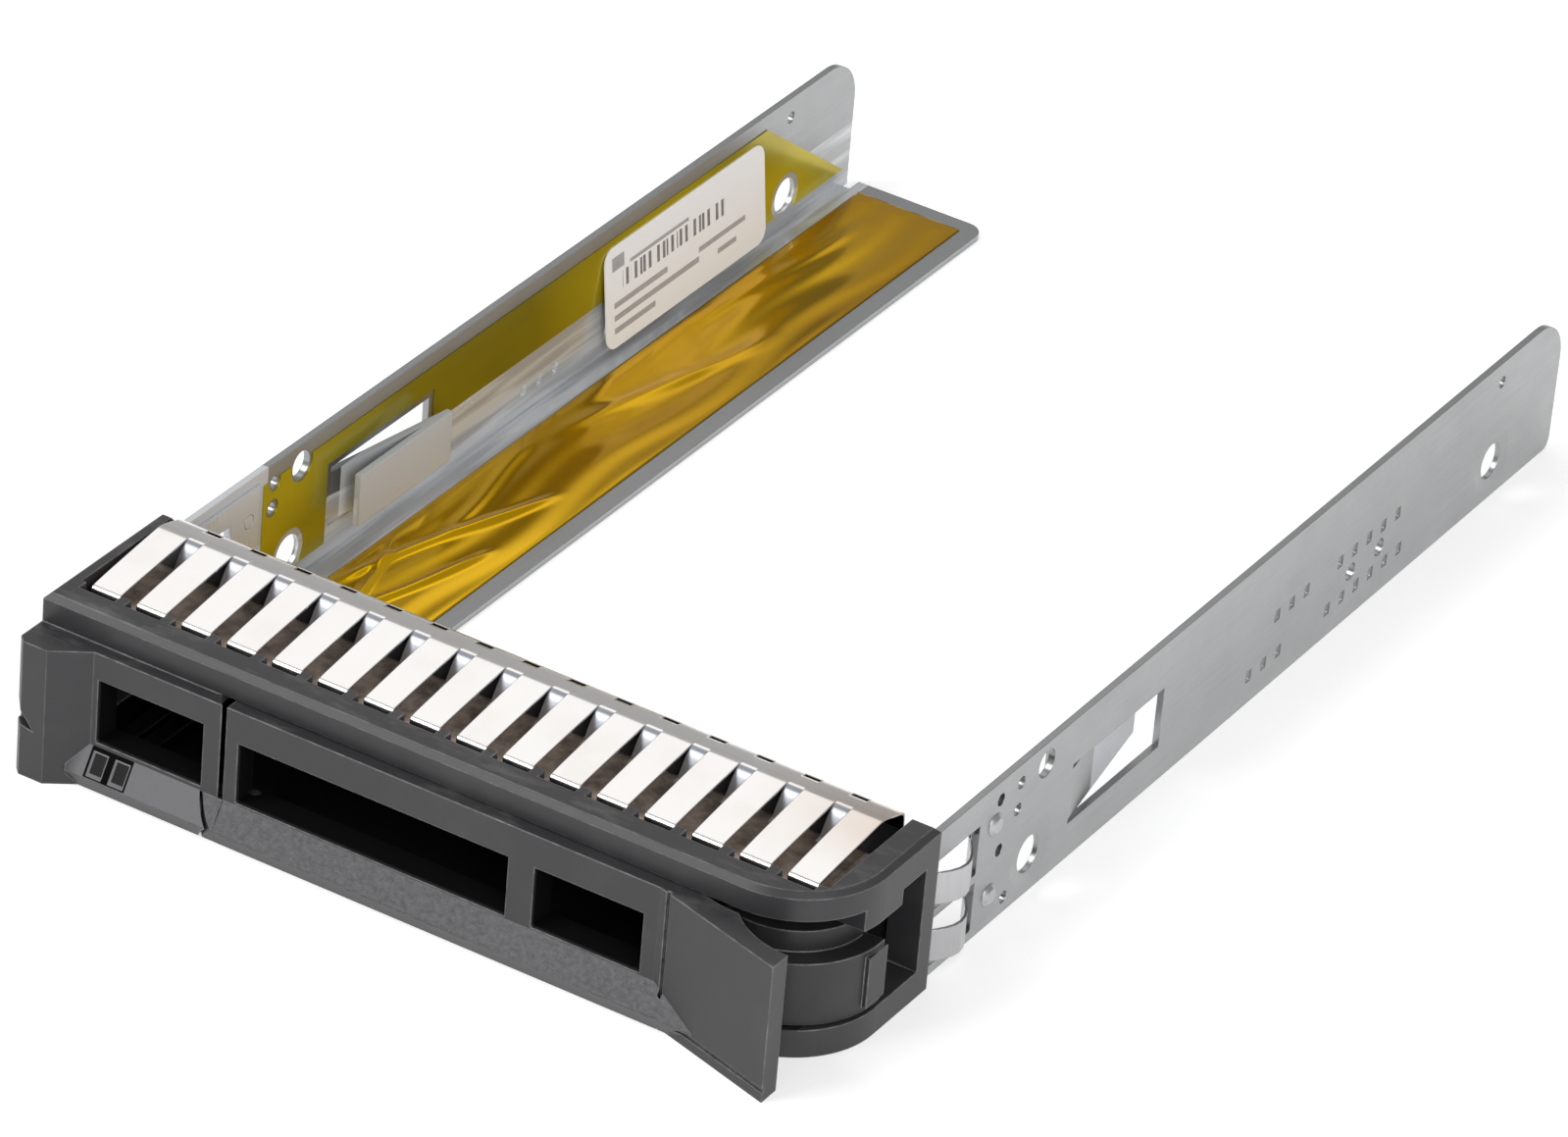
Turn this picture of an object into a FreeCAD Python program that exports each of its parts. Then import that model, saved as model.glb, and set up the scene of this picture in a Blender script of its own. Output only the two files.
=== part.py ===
"""Hot swap drive caddy for a 2.5-inch drive, millimetres.

X runs across the bezel, +Y from the bezel to the rear ends of the rails, +Z up.  The origin is the
bottom centre of the whole caddy.  Two folded sheet-metal rails stand in the rear of a moulded bezel,
whose right-hand part is a handle on a vertical hinge, kept shut by a sprung latch at the corner.
"""
import FreeCAD, Part
import Sketcher
import math
import os

os.makedirs("parts", exist_ok=True)
doc = FreeCAD.newDocument("drive_caddy")

# Driving dimensions: name, value in millimetres, meaning
DIMENSIONS = [
    ("rail_inner_gap", 70.3, "clear width between the rails, for a 69.85 wide drive"),
    ("rail_high", 13.4, "height of the rail walls"),
    ("rail_corner", 4.5, "radius of the top rear corner of a rail"),
    ("rail_foot_corner", 1.0, "radius of the lower rear corner of a rail"),
    ("metal", 0.6, "thickness of the rail sheet"),
    ("rail_post_depth", 1.5, "depth of the rail ends in the bezel"),
    ("tongue_reach", 7.0, "depth of the rail tongues in the bezel floor"),
    ("tongue_high", 2.2, "height of the rail tongues"),
    ("fit_gap", 0.05, "clearance of a pushed-in or running fit"),
    ("shelf_wide", 15.0, "width of the shelf, from the outside of the left rail"),
    ("shelf_front_gap", 0.5, "gap from the bezel to the shelf"),
    ("shelf_corner", 1.6, "radius of the rear corners of the shelf"),
    ("bend_radius", 0.5, "outer radius of the fold between wall and shelf"),
    ("relief_long", 1.6, "length of the relief notch at the rear of the fold"),
    ("relief_wide", 1.2, "width of the relief notch at the rear of the fold"),
    ("screw_pitch", 76.6, "distance between the drive screws of one side"),
    ("screw_start", 16.4, "bezel rear plane to the front drive screw"),
    ("screw_setback", 11.0, "rear end of the rails to the rear drive screw"),
    ("drive_hole_high", 3.0, "drive underside to the axis of its side screws"),
    ("screw_hole_radius", 1.65, "clearance hole for an M3 screw"),
    ("screw_dish_radius", 2.9, "radius of the dish round a screw hole"),
    ("screw_land", 0.45, "straight wall left inside the dish"),
    ("upper_hole_high", 11.4, "height of the holes above the screw holes"),
    ("upper_hole_lag", 1.4, "front screw to the hole above it"),
    ("upper_hole_radius", 1.25, "radius of the hole above the front screw"),
    ("small_hole_radius", 0.55, "radius of the small holes of the front group"),
    ("vent_long", 0.9, "length of a fine perforation"),
    ("vent_high", 1.1, "height of a fine perforation"),
    ("vent_hole_radius", 0.8, "radius of the wider holes between the rows"),
    ("vent_pitch", 2.45, "pitch of the fine perforations"),
    ("vent_upper", 6.1, "height of the upper row of perforations"),
    ("vent_lower", 2.2, "height of the lower row of perforations"),
    ("vent_start", 51.0, "bezel rear plane to the first perforation"),
    ("vent_upper_lag", 4.0, "first lower perforation to the first upper one"),
    ("vent_group", 13.1, "first group of perforations to the second"),
    ("vent_group_lag", 1.5, "second group, lower row to upper row"),
    ("vent_hole_step", 4.9, "pitch of the wider holes"),
    ("tab_start", 22.3, "bezel rear plane to the root of the lanced spring tab"),
    ("tab_long", 14.4, "length of the window that the spring tab is lanced from"),
    ("tab_low", 3.4, "lower edge of the window"),
    ("tab_high", 5.6, "height of the window"),
    ("tab_inset", 2.4, "how far the spring tab stands in from the wall"),
    ("tab_ramp", 0.9, "root of the spring tab to the free end of its folded panel"),
    ("tab_slit", 0.4, "slit round the spring tab"),
    ("clip_window_start", 1.2, "bezel rear plane to the contact windows"),
    ("clip_window_long", 6.6, "length of a contact window"),
    ("clip_window_high", 4.5, "height of a contact window"),
    ("clip_window_low", 0.9, "lower edge of the lower contact window"),
    ("clip_window_step", 5.3, "lower window to upper window"),
    ("rail_cover", 0.85, "outside of a rail to the side of the bezel"),
    ("bezel_high", 15.0, "height of the bezel"),
    ("bezel_deep", 16.0, "depth of the bezel frame"),
    ("slab", 2.5, "thickness of the floor and roof of the bezel"),
    ("corner_round", 8.0, "radius of the right front corner of the bezel"),
    ("left_round", 0.6, "radius of the other upright edges"),
    ("edge_bevel", 0.5, "bevel along the roof of the bezel"),
    ("side_wall", 3.0, "thickness of the bezel side walls"),
    ("rear_wall", 1.2, "thickness of the bezel rear wall"),
    ("vent_port_inset", 2.0, "bezel side wall to the first air port"),
    ("vent_port_rib", 1.6, "rib between two rear air ports"),
    ("vent_port_edge", 1.2, "floor and roof to the edge of an air port"),
    ("face_high", 12.4, "height of the handle and of the fixed section"),
    ("face_proud", 1.2, "front plane ahead of the bezel frame"),
    ("face_wall", 2.7, "thickness of the fixed front wall"),
    ("ear_proud", 2.2, "ear ahead of the front plane"),
    ("ear_flat", 2.9, "width of the flat front of the ear"),
    ("ear_slope", 3.0, "width of the sloping side of the ear"),
    ("notch_deep", 1.9, "depth of the pry notch in the ear"),
    ("notch_high", 2.3, "height of the pry notch"),
    ("notch_rise", 0.6, "rise of the lower edge of the pry notch"),
    ("notch_low", 4.4, "lower tip of the pry notch"),
    ("sill_proud", 1.4, "lip of the sill ahead of the front plane"),
    ("sill_top", 3.8, "upper edge of the sill"),
    ("sill_lip", 1.5, "height of the lip of the sill"),
    ("sill_foot", 0.5, "foot of the sill ahead of the front plane"),
    ("window_low", 4.2, "lower edge of the small fixed window"),
    ("window_tall", 5.8, "height of the small fixed window"),
    ("window_wide", 10.1, "width of the small fixed window"),
    ("window_edge", 1.75, "seam to the small fixed window"),
    ("fixed_wide", 18.25, "left side of the bezel to the seam"),
    ("seam_gap", 0.35, "gap at the seam"),
    ("handle_windows_low", 4.0, "lower edge of the handle windows"),
    ("handle_windows_tall", 5.5, "height of the handle windows"),
    ("handle_post", 1.2, "seam end of the handle to the long window"),
    ("window_end", 1.3, "short window to the start of the flared grip"),
    ("mullion", 2.4, "bar between the long and the short window"),
    ("short_window_wide", 10.0, "width of the short window"),
    ("handle_plate", 2.8, "thickness of the handle plate"),
    ("handle_float", 0.2, "gap from the bezel floor to the handle plate"),
    ("sill_gap", 0.3, "gap from the bezel floor to the rear of the handle sill"),
    ("flare_inset", 14.4, "right side of the bezel to the start of the flared grip"),
    ("tip_inset", 1.9, "right side of the bezel to the tip of the flared grip"),
    ("flare_proud", 3.8, "tip of the grip ahead of the front plane"),
    ("tip_thick", 2.1, "thickness of the tip of the grip"),
    ("scoop_radius", 8.4, "radius of the finger scoop behind the grip"),
    ("groove_wide", 0.35, "width of the grooves in the grip"),
    ("groove_deep", 0.25, "depth of the grooves in the grip"),
    ("groove_start", 0.7, "start of the flared grip to its upright groove"),
    ("groove_low", 0.9, "height of the groove along the foot of the grip"),
    ("hinge_inset", 1.4, "seam end of the handle to the hinge axis"),
    ("hinge_back", 2.4, "front plane to the hinge axis"),
    ("ear_bite", 0.1, "overlap of the lower hinge ear with the plate above the sill"),
    ("hinge_pin_radius", 0.6, "radius of the hinge pins"),
    ("hinge_boss_radius", 1.5, "radius of the hinge bosses"),
    ("hinge_pin_grip", 1.7, "length of a hinge pin in the bezel"),
    ("swing_gap", 0.25, "clearance round the swinging end of the handle"),
    ("hook_back", 2.8, "length of the catch hook behind the handle plate"),
    ("hook_thick", 1.2, "thickness of the catch hook"),
    ("hook_arm", 2.6, "width of the arm of the catch hook"),
    ("hook_low", 5.2, "lower edge of the catch hook"),
    ("hook_high", 3.0, "height of the catch hook"),
    ("catch_gap", 0.7, "gap between the catch hook and the latch"),
    ("latch_inset", 8.2, "right side of the bezel to the latch axis"),
    ("latch_pivot_back", 8.4, "bezel front edge to the latch axis"),
    ("latch_radius", 8.0, "outer radius of the latch"),
    ("latch_wall", 1.6, "thickness of the curved wall of the latch"),
    ("latch_high", 5.6, "height of the drum of the latch"),
    ("latch_collar_high", 1.9, "height of the collar on the drum of the latch"),
    ("latch_collar_radius", 6.3, "outer radius of the collar of the latch"),
    ("latch_float", 0.2, "gap from the bezel floor to the latch"),
    ("latch_roof", 1.3, "thickness of the roof of the latch"),
    ("latch_hub_radius", 2.3, "radius of the latch hub"),
    ("latch_pin_radius", 1.0, "radius of the latch pin"),
    ("latch_sweep", 112.0, "degrees that the latch covers"),
    ("latch_gap", 0.8, "gap between the latch and the grip"),
    ("drum_overlap", 4.0, "degrees that the drum of the latch runs past its collar"),
    ("rib_rear", 0.78, "thumb rib behind the latch axis"),
    ("rib_wide", 2.6, "width of the thumb rib of the latch"),
    ("rib_drop", 0.5, "thumb rib below the roof of the latch"),
    ("rib_deep", 2.0, "thickness of the thumb rib"),
    ("port_high", 8.1, "height of the side port over the latch"),
    ("port_step", 1.4, "step in the upper edge of the side port"),
    ("port_step_long", 3.4, "length of the stepped part of the side port"),
    ("port_rear", 1.8, "bezel rear plane to the side port"),
    ("coil_wire", 0.28, "wire radius of the latch spring"),
    ("coil_radius", 1.75, "mean radius of the latch spring"),
    ("coil_turns", 3, "turns of the latch spring"),
    ("coil_squash", 0.8, "half the side of the square leg over the wire radius"),
    ("coil_lift", 0.2, "gap between latch and spring"),
    ("spring_leaf", 0.3, "thickness of the handle spring"),
    ("spring_tall", 2.0, "height of the handle spring"),
    ("spring_foot", 4.0, "hinge axis to the rooted end of the handle spring, both ways"),
    ("spring_toe", 1.0, "length of the level toe of the handle spring"),
    ("spring_reach", 9.0, "length of the free leg of the handle spring"),
    ("gasket_metal", 0.22, "thickness of the gasket strip"),
    ("finger_wide", 2.8, "width of a gasket finger"),
    ("finger_start", 2.0, "left side of the bezel to the first finger"),
    ("finger_end", 3.45, "last finger to the right side of the bezel"),
    ("finger_count", 16, "number of gasket fingers"),
    ("recess_deep", 1.7, "depth of the gasket recess"),
    ("recess_left", 1.3, "left side of the bezel to the recess"),
    ("recess_right", 2.4, "right side of the bezel to the recess"),
    ("recess_front", 3.4, "bezel front edge to the recess"),
    ("pocket_deep", 1.0, "depth of the pocket round a finger tip"),
    ("pocket_gap", 0.3, "gap beside a finger tip"),
    ("tip_gap", 0.35, "gap ahead of a finger tip"),
    ("crest_rise", 0.8, "crest of the gasket above the bezel roof"),
    ("crest_back", 3.3, "bezel rear plane to the crest"),
    ("tip_rise", 0.45, "finger tip above the recess floor"),
    ("flange_drop", 2.6, "depth of the gasket flange behind the bezel"),
    ("flange_bend", 0.4, "start of the flange's bend below the bezel roof"),
    ("flange_lean", 0.3, "depth of the flange's bend"),
    ("curl_long", 0.8, "crest of the gasket to its curl"),
    ("curl_drop", 0.2, "curl of the gasket below the crest"),
    ("web_setback", 1.5, "crest of the gasket to its web"),
    ("web_drop", 0.9, "top of the web below the crest"),
    ("base_gap", 0.3, "gap ahead of the base of the gasket"),
    ("finger_flat", 1.0, "level start of a finger at the crest"),
    ("tip_flat", 0.4, "length of the turned-up tip of a finger"),
    ("finger_root", 0.2, "root of a finger behind the crest"),
    ("band_slot_deep", 3.0, "depth of the cut for a band slot"),
    ("band_slot_side", 0.3, "band slot beside the gap between two fingers"),
    ("band_slot_back", 0.6, "bezel rear plane to a band slot"),
    ("band_slot_long", 0.7, "length of the slots in the gasket band"),
    ("clip_metal", 0.25, "thickness of a side contact"),
    ("clip_strap_high", 2.9, "height of a contact strap"),
    ("clip_bow", 0.8, "how far a contact strap bows out from the rail"),
    ("clip_edge_gap", 0.2, "gap round a contact strap"),
    ("clip_long", 11.4, "length of a side contact"),
    ("clip_high", 11.6, "height of a side contact"),
    ("rivet_radius", 0.6, "radius of a contact rivet"),
    ("rivet_head_radius", 1.0, "radius of a rivet head"),
    ("rivet_head_high", 0.35, "height of a rivet head"),
    ("rivet_back", 10.2, "bezel rear plane to the rivets"),
    ("rivet_low", 3.0, "height of the lower rivet"),
    ("rivet_step", 6.6, "lower rivet to upper rivet"),
    ("film", 0.1, "thickness of the insulating film"),
    ("shelf_film_edge", 1.7, "bare edge beside the shelf film"),
    ("shelf_film_inner", 2.2, "fold to the shelf film"),
    ("wall_film_top", 1.5, "bare edge above the wall film"),
    ("wall_film_low", 6.2, "lower edge of the wall film above the bare strip"),
    ("wall_film_foot", 1.4, "lower edge of the wall film at its two ends"),
    ("wall_film_rear", 1.2, "rear end of the wall film to the rear end of the rails"),
    ("wall_film_slant", 13.8, "length of the slanting rear edge of the wall film"),
    ("film_front", 12.4, "bezel rear plane to the wall film"),
    ("film_hole_margin", 0.6, "film cut back round a hole"),
    ("label_long", 25.5, "length of the label"),
    ("label_tall", 9.6, "height of the label"),
    ("label_thick", 0.12, "thickness of the label"),
    ("label_setback", 15.7, "rear end of the label to the rear end of the rails"),
    ("label_corner", 1.4, "corner radius of the label"),
    ("label_low", 1.0, "lower edge of the label above the shelf"),
    ("label_lean", 6.0, "degrees that the label leans in at its lower edge"),
    ("pipe_wide", 1.45, "width of a light pipe"),
    ("pipe_step", 2.1, "pitch of the light pipes"),
    ("pipe_start", 0.5, "ear to the first light pipe"),
    ("pipe_low", 1.7, "lower edge of a light pipe lens"),
    ("pipe_top", 3.5, "upper edge of a light pipe"),
    ("pipe_stem", 0.8, "height of the stem of a light pipe"),
]

# Sizes that follow from the driving ones: name, formula, meaning
DERIVED = [
    ("rail_reach", "screw_start + screw_pitch + screw_setback", "bezel to the rear end of the rails"),
    ("bezel_wide", "rail_inner_gap + 2 * (metal + rail_cover)", "width of the bezel"),
    ("seam_left", "bezel_wide / 2 - fixed_wide", "centre to the seam side of the fixed section"),
    ("flare_start", "bezel_wide / 2 - flare_inset", "centre to the start of the flared grip"),
    ("flare_end", "bezel_wide / 2 - tip_inset", "centre to the tip of the flared grip"),
    ("latch_pivot_x", "bezel_wide / 2 - latch_inset", "centre to the latch axis"),
    ("finger_pitch", "(bezel_wide - finger_start - finger_end - finger_wide) / (finger_count - 1)",
     "pitch of the gasket fingers"),
    ("vent_port_wide", "(bezel_wide - 2 * (side_wall + vent_port_inset + vent_port_rib)) / 3",
     "width of a rear air port"),
    ("vent_port_step", "vent_port_wide + vent_port_rib", "pitch of the rear air ports"),
    ("long_window_wide", "flare_start + seam_left - seam_gap - handle_post - mullion"
     " - short_window_wide - window_end", "width of the long window"),
]

sheet = doc.addObject("Spreadsheet::Sheet", "Sizes")
rows = DIMENSIONS + [(alias, "=" + formula, meaning) for alias, formula, meaning in DERIVED]
for row, (alias, content, meaning) in enumerate(rows, start=1):
    sheet.set("A%d" % row, alias)
    sheet.set("B%d" % row, str(content))
    sheet.set("C%d" % row, meaning)
    sheet.setAlias("B%d" % row, alias)
doc.recompute()


class Length:
    """A number together with the sheet expression that gives it."""

    def __init__(self, value, text):
        self.value = float(value)
        self.text = text

    def combine(self, other, sign, swapped=False):
        left, right = (as_length(other), self) if swapped else (self, as_length(other))
        value = {"+": left.value + right.value,
                 "-": left.value - right.value,
                 "*": left.value * right.value,
                 "/": left.value / right.value if right.value else 0.0}[sign]
        return Length(value, "(%s %s %s)" % (left.text, sign, right.text))

    def __add__(self, other):
        return self.combine(other, "+")

    def __radd__(self, other):
        return self.combine(other, "+", True)

    def __sub__(self, other):
        return self.combine(other, "-")

    def __rsub__(self, other):
        return self.combine(other, "-", True)

    def __mul__(self, other):
        return self.combine(other, "*")

    def __rmul__(self, other):
        return self.combine(other, "*", True)

    def __truediv__(self, other):
        return self.combine(other, "/")

    def __neg__(self):
        return 0 - self


def as_length(item):
    """Give a plain number the same form as a sheet value."""
    return item if isinstance(item, Length) else Length(item, "%.9g" % item)


def hypotenuse(across, along):
    """Length of the diagonal over two sides."""
    value = math.hypot(across.value, along.value)
    return Length(value, "sqrt(%s * %s + %s * %s)" % (across.text, across.text, along.text, along.text))


class Sizes:
    """The sheet's values, each under its alias."""

    def __getattr__(self, alias):
        return Length(sheet.get(alias), "Sizes.%s" % alias)


size = Sizes()


def bind(item, **lengths):
    """Tie properties of an object to sheet expressions."""
    for name, length in lengths.items():
        item.setExpression(name, as_length(length).text)


def bind_base(item, across, along, up):
    """Tie an object's position to sheet expressions."""
    for axis, length in zip("xyz", (across, along, up)):
        item.setExpression("Placement.Base.%s" % axis, as_length(length).text)


def origin_feature(body, role):
    """The origin plane or axis of a body that has the given role."""
    return next(item for item in body.Origin.OriginFeatures if item.Role == role)


def new_body(name):
    body = doc.addObject("PartDesign::Body", name)
    body.Label = name
    return body


def new_sketch(body, name, plane, offset):
    """Sketch on an origin plane of its body, moved along the plane's normal."""
    sketch = body.newObject("Sketcher::SketchObject", name)
    sketch.AttachmentSupport = [(origin_feature(body, plane), "")]
    sketch.MapMode = "FlatFace"
    sketch.setExpression("AttachmentOffset.Base.z", as_length(offset).text)
    return sketch


def fix_point(sketch, geometry, position, across, along):
    """Hold a point of a sketch at bound distances from the sketch origin."""
    for kind, length in (("DistanceX", across), ("DistanceY", along)):
        length = as_length(length)
        number = sketch.addConstraint(
            Sketcher.Constraint(kind, -1, 1, geometry, position, length.value))
        sketch.setExpression("Constraints[%d]" % number, length.text)


def draw_polygon(sketch, points):
    """Closed outline of straight edges through bound points."""
    spots = [FreeCAD.Vector(as_length(a).value, as_length(b).value, 0) for a, b in points]
    count = len(spots)
    lines = [Part.LineSegment(spots[i], spots[(i + 1) % count]) for i in range(count)]
    first = sketch.addGeometry(lines, False)[0]
    for i in range(count):
        sketch.addConstraint(
            Sketcher.Constraint("Coincident", first + i, 2, first + (i + 1) % count, 1))
        fix_point(sketch, first + i, 1, points[i][0], points[i][1])


def draw_circles(sketch, circles):
    """Circles, each given by the bound place of its centre and its bound radius."""
    for across, along, radius in circles:
        centre = FreeCAD.Vector(as_length(across).value, as_length(along).value, 0)
        circle = Part.Circle(centre, FreeCAD.Vector(0, 0, 1), as_length(radius).value)
        number = sketch.addGeometry(circle, False)
        fix_point(sketch, number, 3, across, along)
        held = sketch.addConstraint(Sketcher.Constraint("Radius", number, as_length(radius).value))
        sketch.setExpression("Constraints[%d]" % held, as_length(radius).text)


PLANES = {"across": "YZ_Plane", "along": "XZ_Plane", "up": "XY_Plane"}


def add_prism(body, name, direction, points, start, end):
    """Pad a polygon from start to end along X (across), Y (along) or Z (up)."""
    offset = -end if direction == "along" else start
    sketch = new_sketch(body, name + "_outline", PLANES[direction], offset)
    draw_polygon(sketch, points)
    pad = body.newObject("PartDesign::Pad", name)
    pad.Profile = sketch
    bind(pad, Length=end - start)
    doc.recompute()
    return pad


def prism(name, direction, points, start, end):
    """Body made of one padded polygon."""
    body = new_body(name)
    add_prism(body, name + "_pad", direction, points, as_length(start), as_length(end))
    return body


def cut_circles(body, name, direction, circles):
    """Pocket round holes through a body along X, Y or Z."""
    sketch = new_sketch(body, name + "_centres", PLANES[direction], as_length(0))
    draw_circles(sketch, circles)
    return cut_through(body, name, sketch)


def cut_polygons(body, name, direction, outlines):
    """Pocket polygons through a body along X, Y or Z."""
    sketch = new_sketch(body, name + "_outline", PLANES[direction], as_length(0))
    for points in outlines:
        draw_polygon(sketch, points)
    return cut_through(body, name, sketch)


def cut_through(body, name, sketch):
    before = body.Shape.Volume
    pocket = body.newObject("PartDesign::Pocket", name)
    pocket.Profile = sketch
    pocket.SideType = "Symmetric"
    pocket.Length = 400
    doc.recompute()
    if body.Shape.Volume >= before:
        raise RuntimeError("nothing was cut by " + name)
    return pocket


def runs_along(edge, axis):
    """Whether an edge is straight and parallel to the named axis, or any edge for no axis."""
    if not axis:
        return True
    run = edge.Vertexes[1].Point - edge.Vertexes[0].Point
    return abs(abs(getattr(run, axis)) - run.Length) < 1e-6


def edge_names(shape, wanted, axis):
    """Names of the edges along an axis whose two ends both satisfy a test."""
    return ["Edge%d" % (i + 1) for i, edge in enumerate(shape.Edges)
            if len(edge.Vertexes) == 2 and runs_along(edge, axis)
            and all(wanted(v.Point) for v in edge.Vertexes)]


def round_edges(body, name, wanted, radius, kind="Fillet", axis=""):
    """Fillet or bevel the edges of a body that satisfy a test."""
    base = body.Tip
    feature = body.newObject("PartDesign::" + kind, name)
    feature.Base = (base, edge_names(base.Shape, wanted, axis))
    feature.setExpression("Radius" if kind == "Fillet" else "Size", as_length(radius).text)
    doc.recompute()
    return feature


def near(one, length):
    return abs(one - as_length(length).value) < 1e-4


def box(name, x_range, y_range, z_range):
    """Box between bound limits."""
    item = doc.addObject("Part::Box", name)
    low = [as_length(pair[0]) for pair in (x_range, y_range, z_range)]
    high = [as_length(pair[1]) for pair in (x_range, y_range, z_range)]
    bind(item, Length=high[0] - low[0], Width=high[1] - low[1], Height=high[2] - low[2])
    bind_base(item, *low)
    return item


def post(name, x, y, z_range, radius):
    """Upright cylinder between two heights."""
    item = doc.addObject("Part::Cylinder", name)
    bind(item, Radius=radius, Height=as_length(z_range[1]) - z_range[0])
    bind_base(item, x, y, z_range[0])
    return item


def fuse(name, *items):
    result = doc.addObject("Part::MultiFuse", name)
    result.Shapes = list(items)
    result.Refine = True
    result.Label = name
    doc.recompute()
    return result


def cut(name, base, *tools):
    """Base less every tool."""
    tool = tools[0] if len(tools) == 1 else fuse(name + "_tools", *tools)
    result = doc.addObject("Part::Cut", name)
    result.Base = base
    result.Tool = tool
    result.Refine = True
    result.Label = name
    doc.recompute()
    return result


def common(name, one, other):
    result = doc.addObject("Part::Common", name)
    result.Base = one
    result.Tool = other
    doc.recompute()
    return result


# Planes and places that several pieces share
past = 1.0  # how far a cut runs on beyond the face it opens
tip_reach = size.bezel_deep + size.face_proud + size.flare_proud
back = (tip_reach - size.rail_reach) / 2
front = back - size.bezel_deep
face = front - size.face_proud
rail_end = back + size.rail_reach
half = size.bezel_wide / 2
floor = size.slab
roof = size.bezel_high - size.slab
rail_inner = size.rail_inner_gap / 2
rail_outer = rail_inner + size.metal
screw_high = size.metal + size.drive_hole_high
rear_screw = rail_end - size.screw_setback
front_screw = rear_screw - size.screw_pitch
wall_inside = half - size.side_wall
handle_left = size.seam_gap - size.seam_left
hinge_x = handle_left + size.hinge_inset
hinge_y = face + size.hinge_back
latch_y = front + size.latch_pivot_back
latch_low = floor + size.latch_float
latch_top = latch_low + size.latch_high
collar_top = latch_top + size.latch_collar_high
recess_floor = size.bezel_high - size.recess_deep
recess_edge = front + size.recess_front
latch_pin_top = (roof + recess_floor) / 2
first_finger = size.finger_start - half

parts = {}


def sided(side, one, other):
    """Two distances from the middle as an ordered X range on one side."""
    return (one, other) if side > 0 else (-other, -one)


def front_hole_circles():
    """Hole above the front screw and the small holes scattered before it."""
    small = size.small_hole_radius
    places = ((2.5, 0.2), (5.6, 0.2), (2.7, -2.2), (3.7, -9.9), (5.2, -4.7))
    circles = [(front_screw - ahead, size.upper_hole_high + up, small) for ahead, up in places]
    circles.append((front_screw + size.upper_hole_lag, size.upper_hole_high, size.upper_hole_radius))
    circles.append((rear_screw, size.upper_hole_high, size.small_hole_radius))
    return circles


def perforations():
    """Lower front corners of the fine perforations: two groups of two rows each."""
    start = back + size.vent_start
    second = start + size.vent_group
    rows = ((start + size.vent_upper_lag, 3, size.vent_upper), (start, 3, size.vent_lower),
            (second + size.vent_group_lag, 5, size.vent_upper), (second, 6, size.vent_lower))
    return [(first + i * size.vent_pitch, low) for first, count, low in rows for i in range(count)]


def vent_hole_circles():
    """Two wider holes between the rows of the second group."""
    first = back + size.vent_start + size.vent_group + size.vent_upper_lag
    middle = (size.vent_upper + size.vent_lower + size.vent_high) / 2
    return [(first + i * size.vent_hole_step, middle, size.vent_hole_radius) for i in range(2)]


def clip_window_rows():
    """Lower edges of the two contact windows of a rail."""
    return [size.clip_window_low + i * size.clip_window_step for i in range(2)]


def rectangle(low_a, high_a, low_b, high_b):
    return [(low_a, low_b), (high_a, low_b), (high_a, high_b), (low_a, high_b)]


def rivet_places():
    return [(back + size.rivet_back, size.rivet_low + i * size.rivet_step) for i in range(2)]


def build_rail(name, side):
    """Folded rail: wall with tongue, perforations, spring tab and, on the left, the shelf."""
    body = new_body(name)
    wall_front = back - size.rail_post_depth
    tongue_front = back - size.tongue_reach
    x_low, x_high = sided(side, rail_inner, rail_outer)
    outline = [(tongue_front, as_length(0)), (rail_end, as_length(0)),
               (rail_end, size.rail_high), (wall_front, size.rail_high),
               (wall_front, size.tongue_high), (tongue_front, size.tongue_high)]
    add_prism(body, name + "_wall", "across", outline, x_low, x_high)
    round_edges(body, name + "_top_corner",
                lambda p: near(p.y, rail_end) and near(p.z, size.rail_high), size.rail_corner)
    if side > 0:
        round_edges(body, name + "_foot_corner",
                    lambda p: near(p.y, rail_end) and near(p.z, 0), size.rail_foot_corner)
    cut_circles(body, name + "_screw_holes", "across",
                [(y, screw_high, size.screw_hole_radius) for y in (rear_screw, front_screw)])
    cut_circles(body, name + "_front_holes", "across", front_hole_circles())
    cut_polygons(body, name + "_perforations", "across",
                 [rectangle(y, y + size.vent_long, z, z + size.vent_high) for y, z in perforations()])
    cut_circles(body, name + "_vent_holes", "across", vent_hole_circles())
    cut_circles(body, name + "_rivet_holes", "across",
                [(y, z, size.rivet_radius + size.fit_gap) for y, z in rivet_places()])
    window_start = back + size.clip_window_start
    for row, low in enumerate(clip_window_rows()):
        cut_polygons(body, "%s_contact_window_%d" % (name, row + 1), "across",
                     [rectangle(window_start, window_start + size.clip_window_long,
                                low, low + size.clip_window_high)])
    add_spring_tab(body, name, side)
    if side < 0:
        add_shelf(body, name)
    for spot, y in (("rear", rear_screw), ("front", front_screw)):
        cone = doc.addObject("Part::Cone", "%s_%s_dish" % (name, spot))
        bind(cone, Radius1=size.screw_hole_radius, Radius2=size.screw_dish_radius,
             Height=size.metal - size.screw_land)
        cone.Placement.Rotation = FreeCAD.Rotation(FreeCAD.Vector(0, 1, 0), 90 * side)
        bind_base(cone, side * (rail_inner + size.screw_land), y, screw_high)
    dishes = [doc.getObject("%s_%s_dish" % (name, spot)) for spot in ("rear", "front")]
    parts[name] = cut(name + "_dished", body, *dishes)


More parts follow.
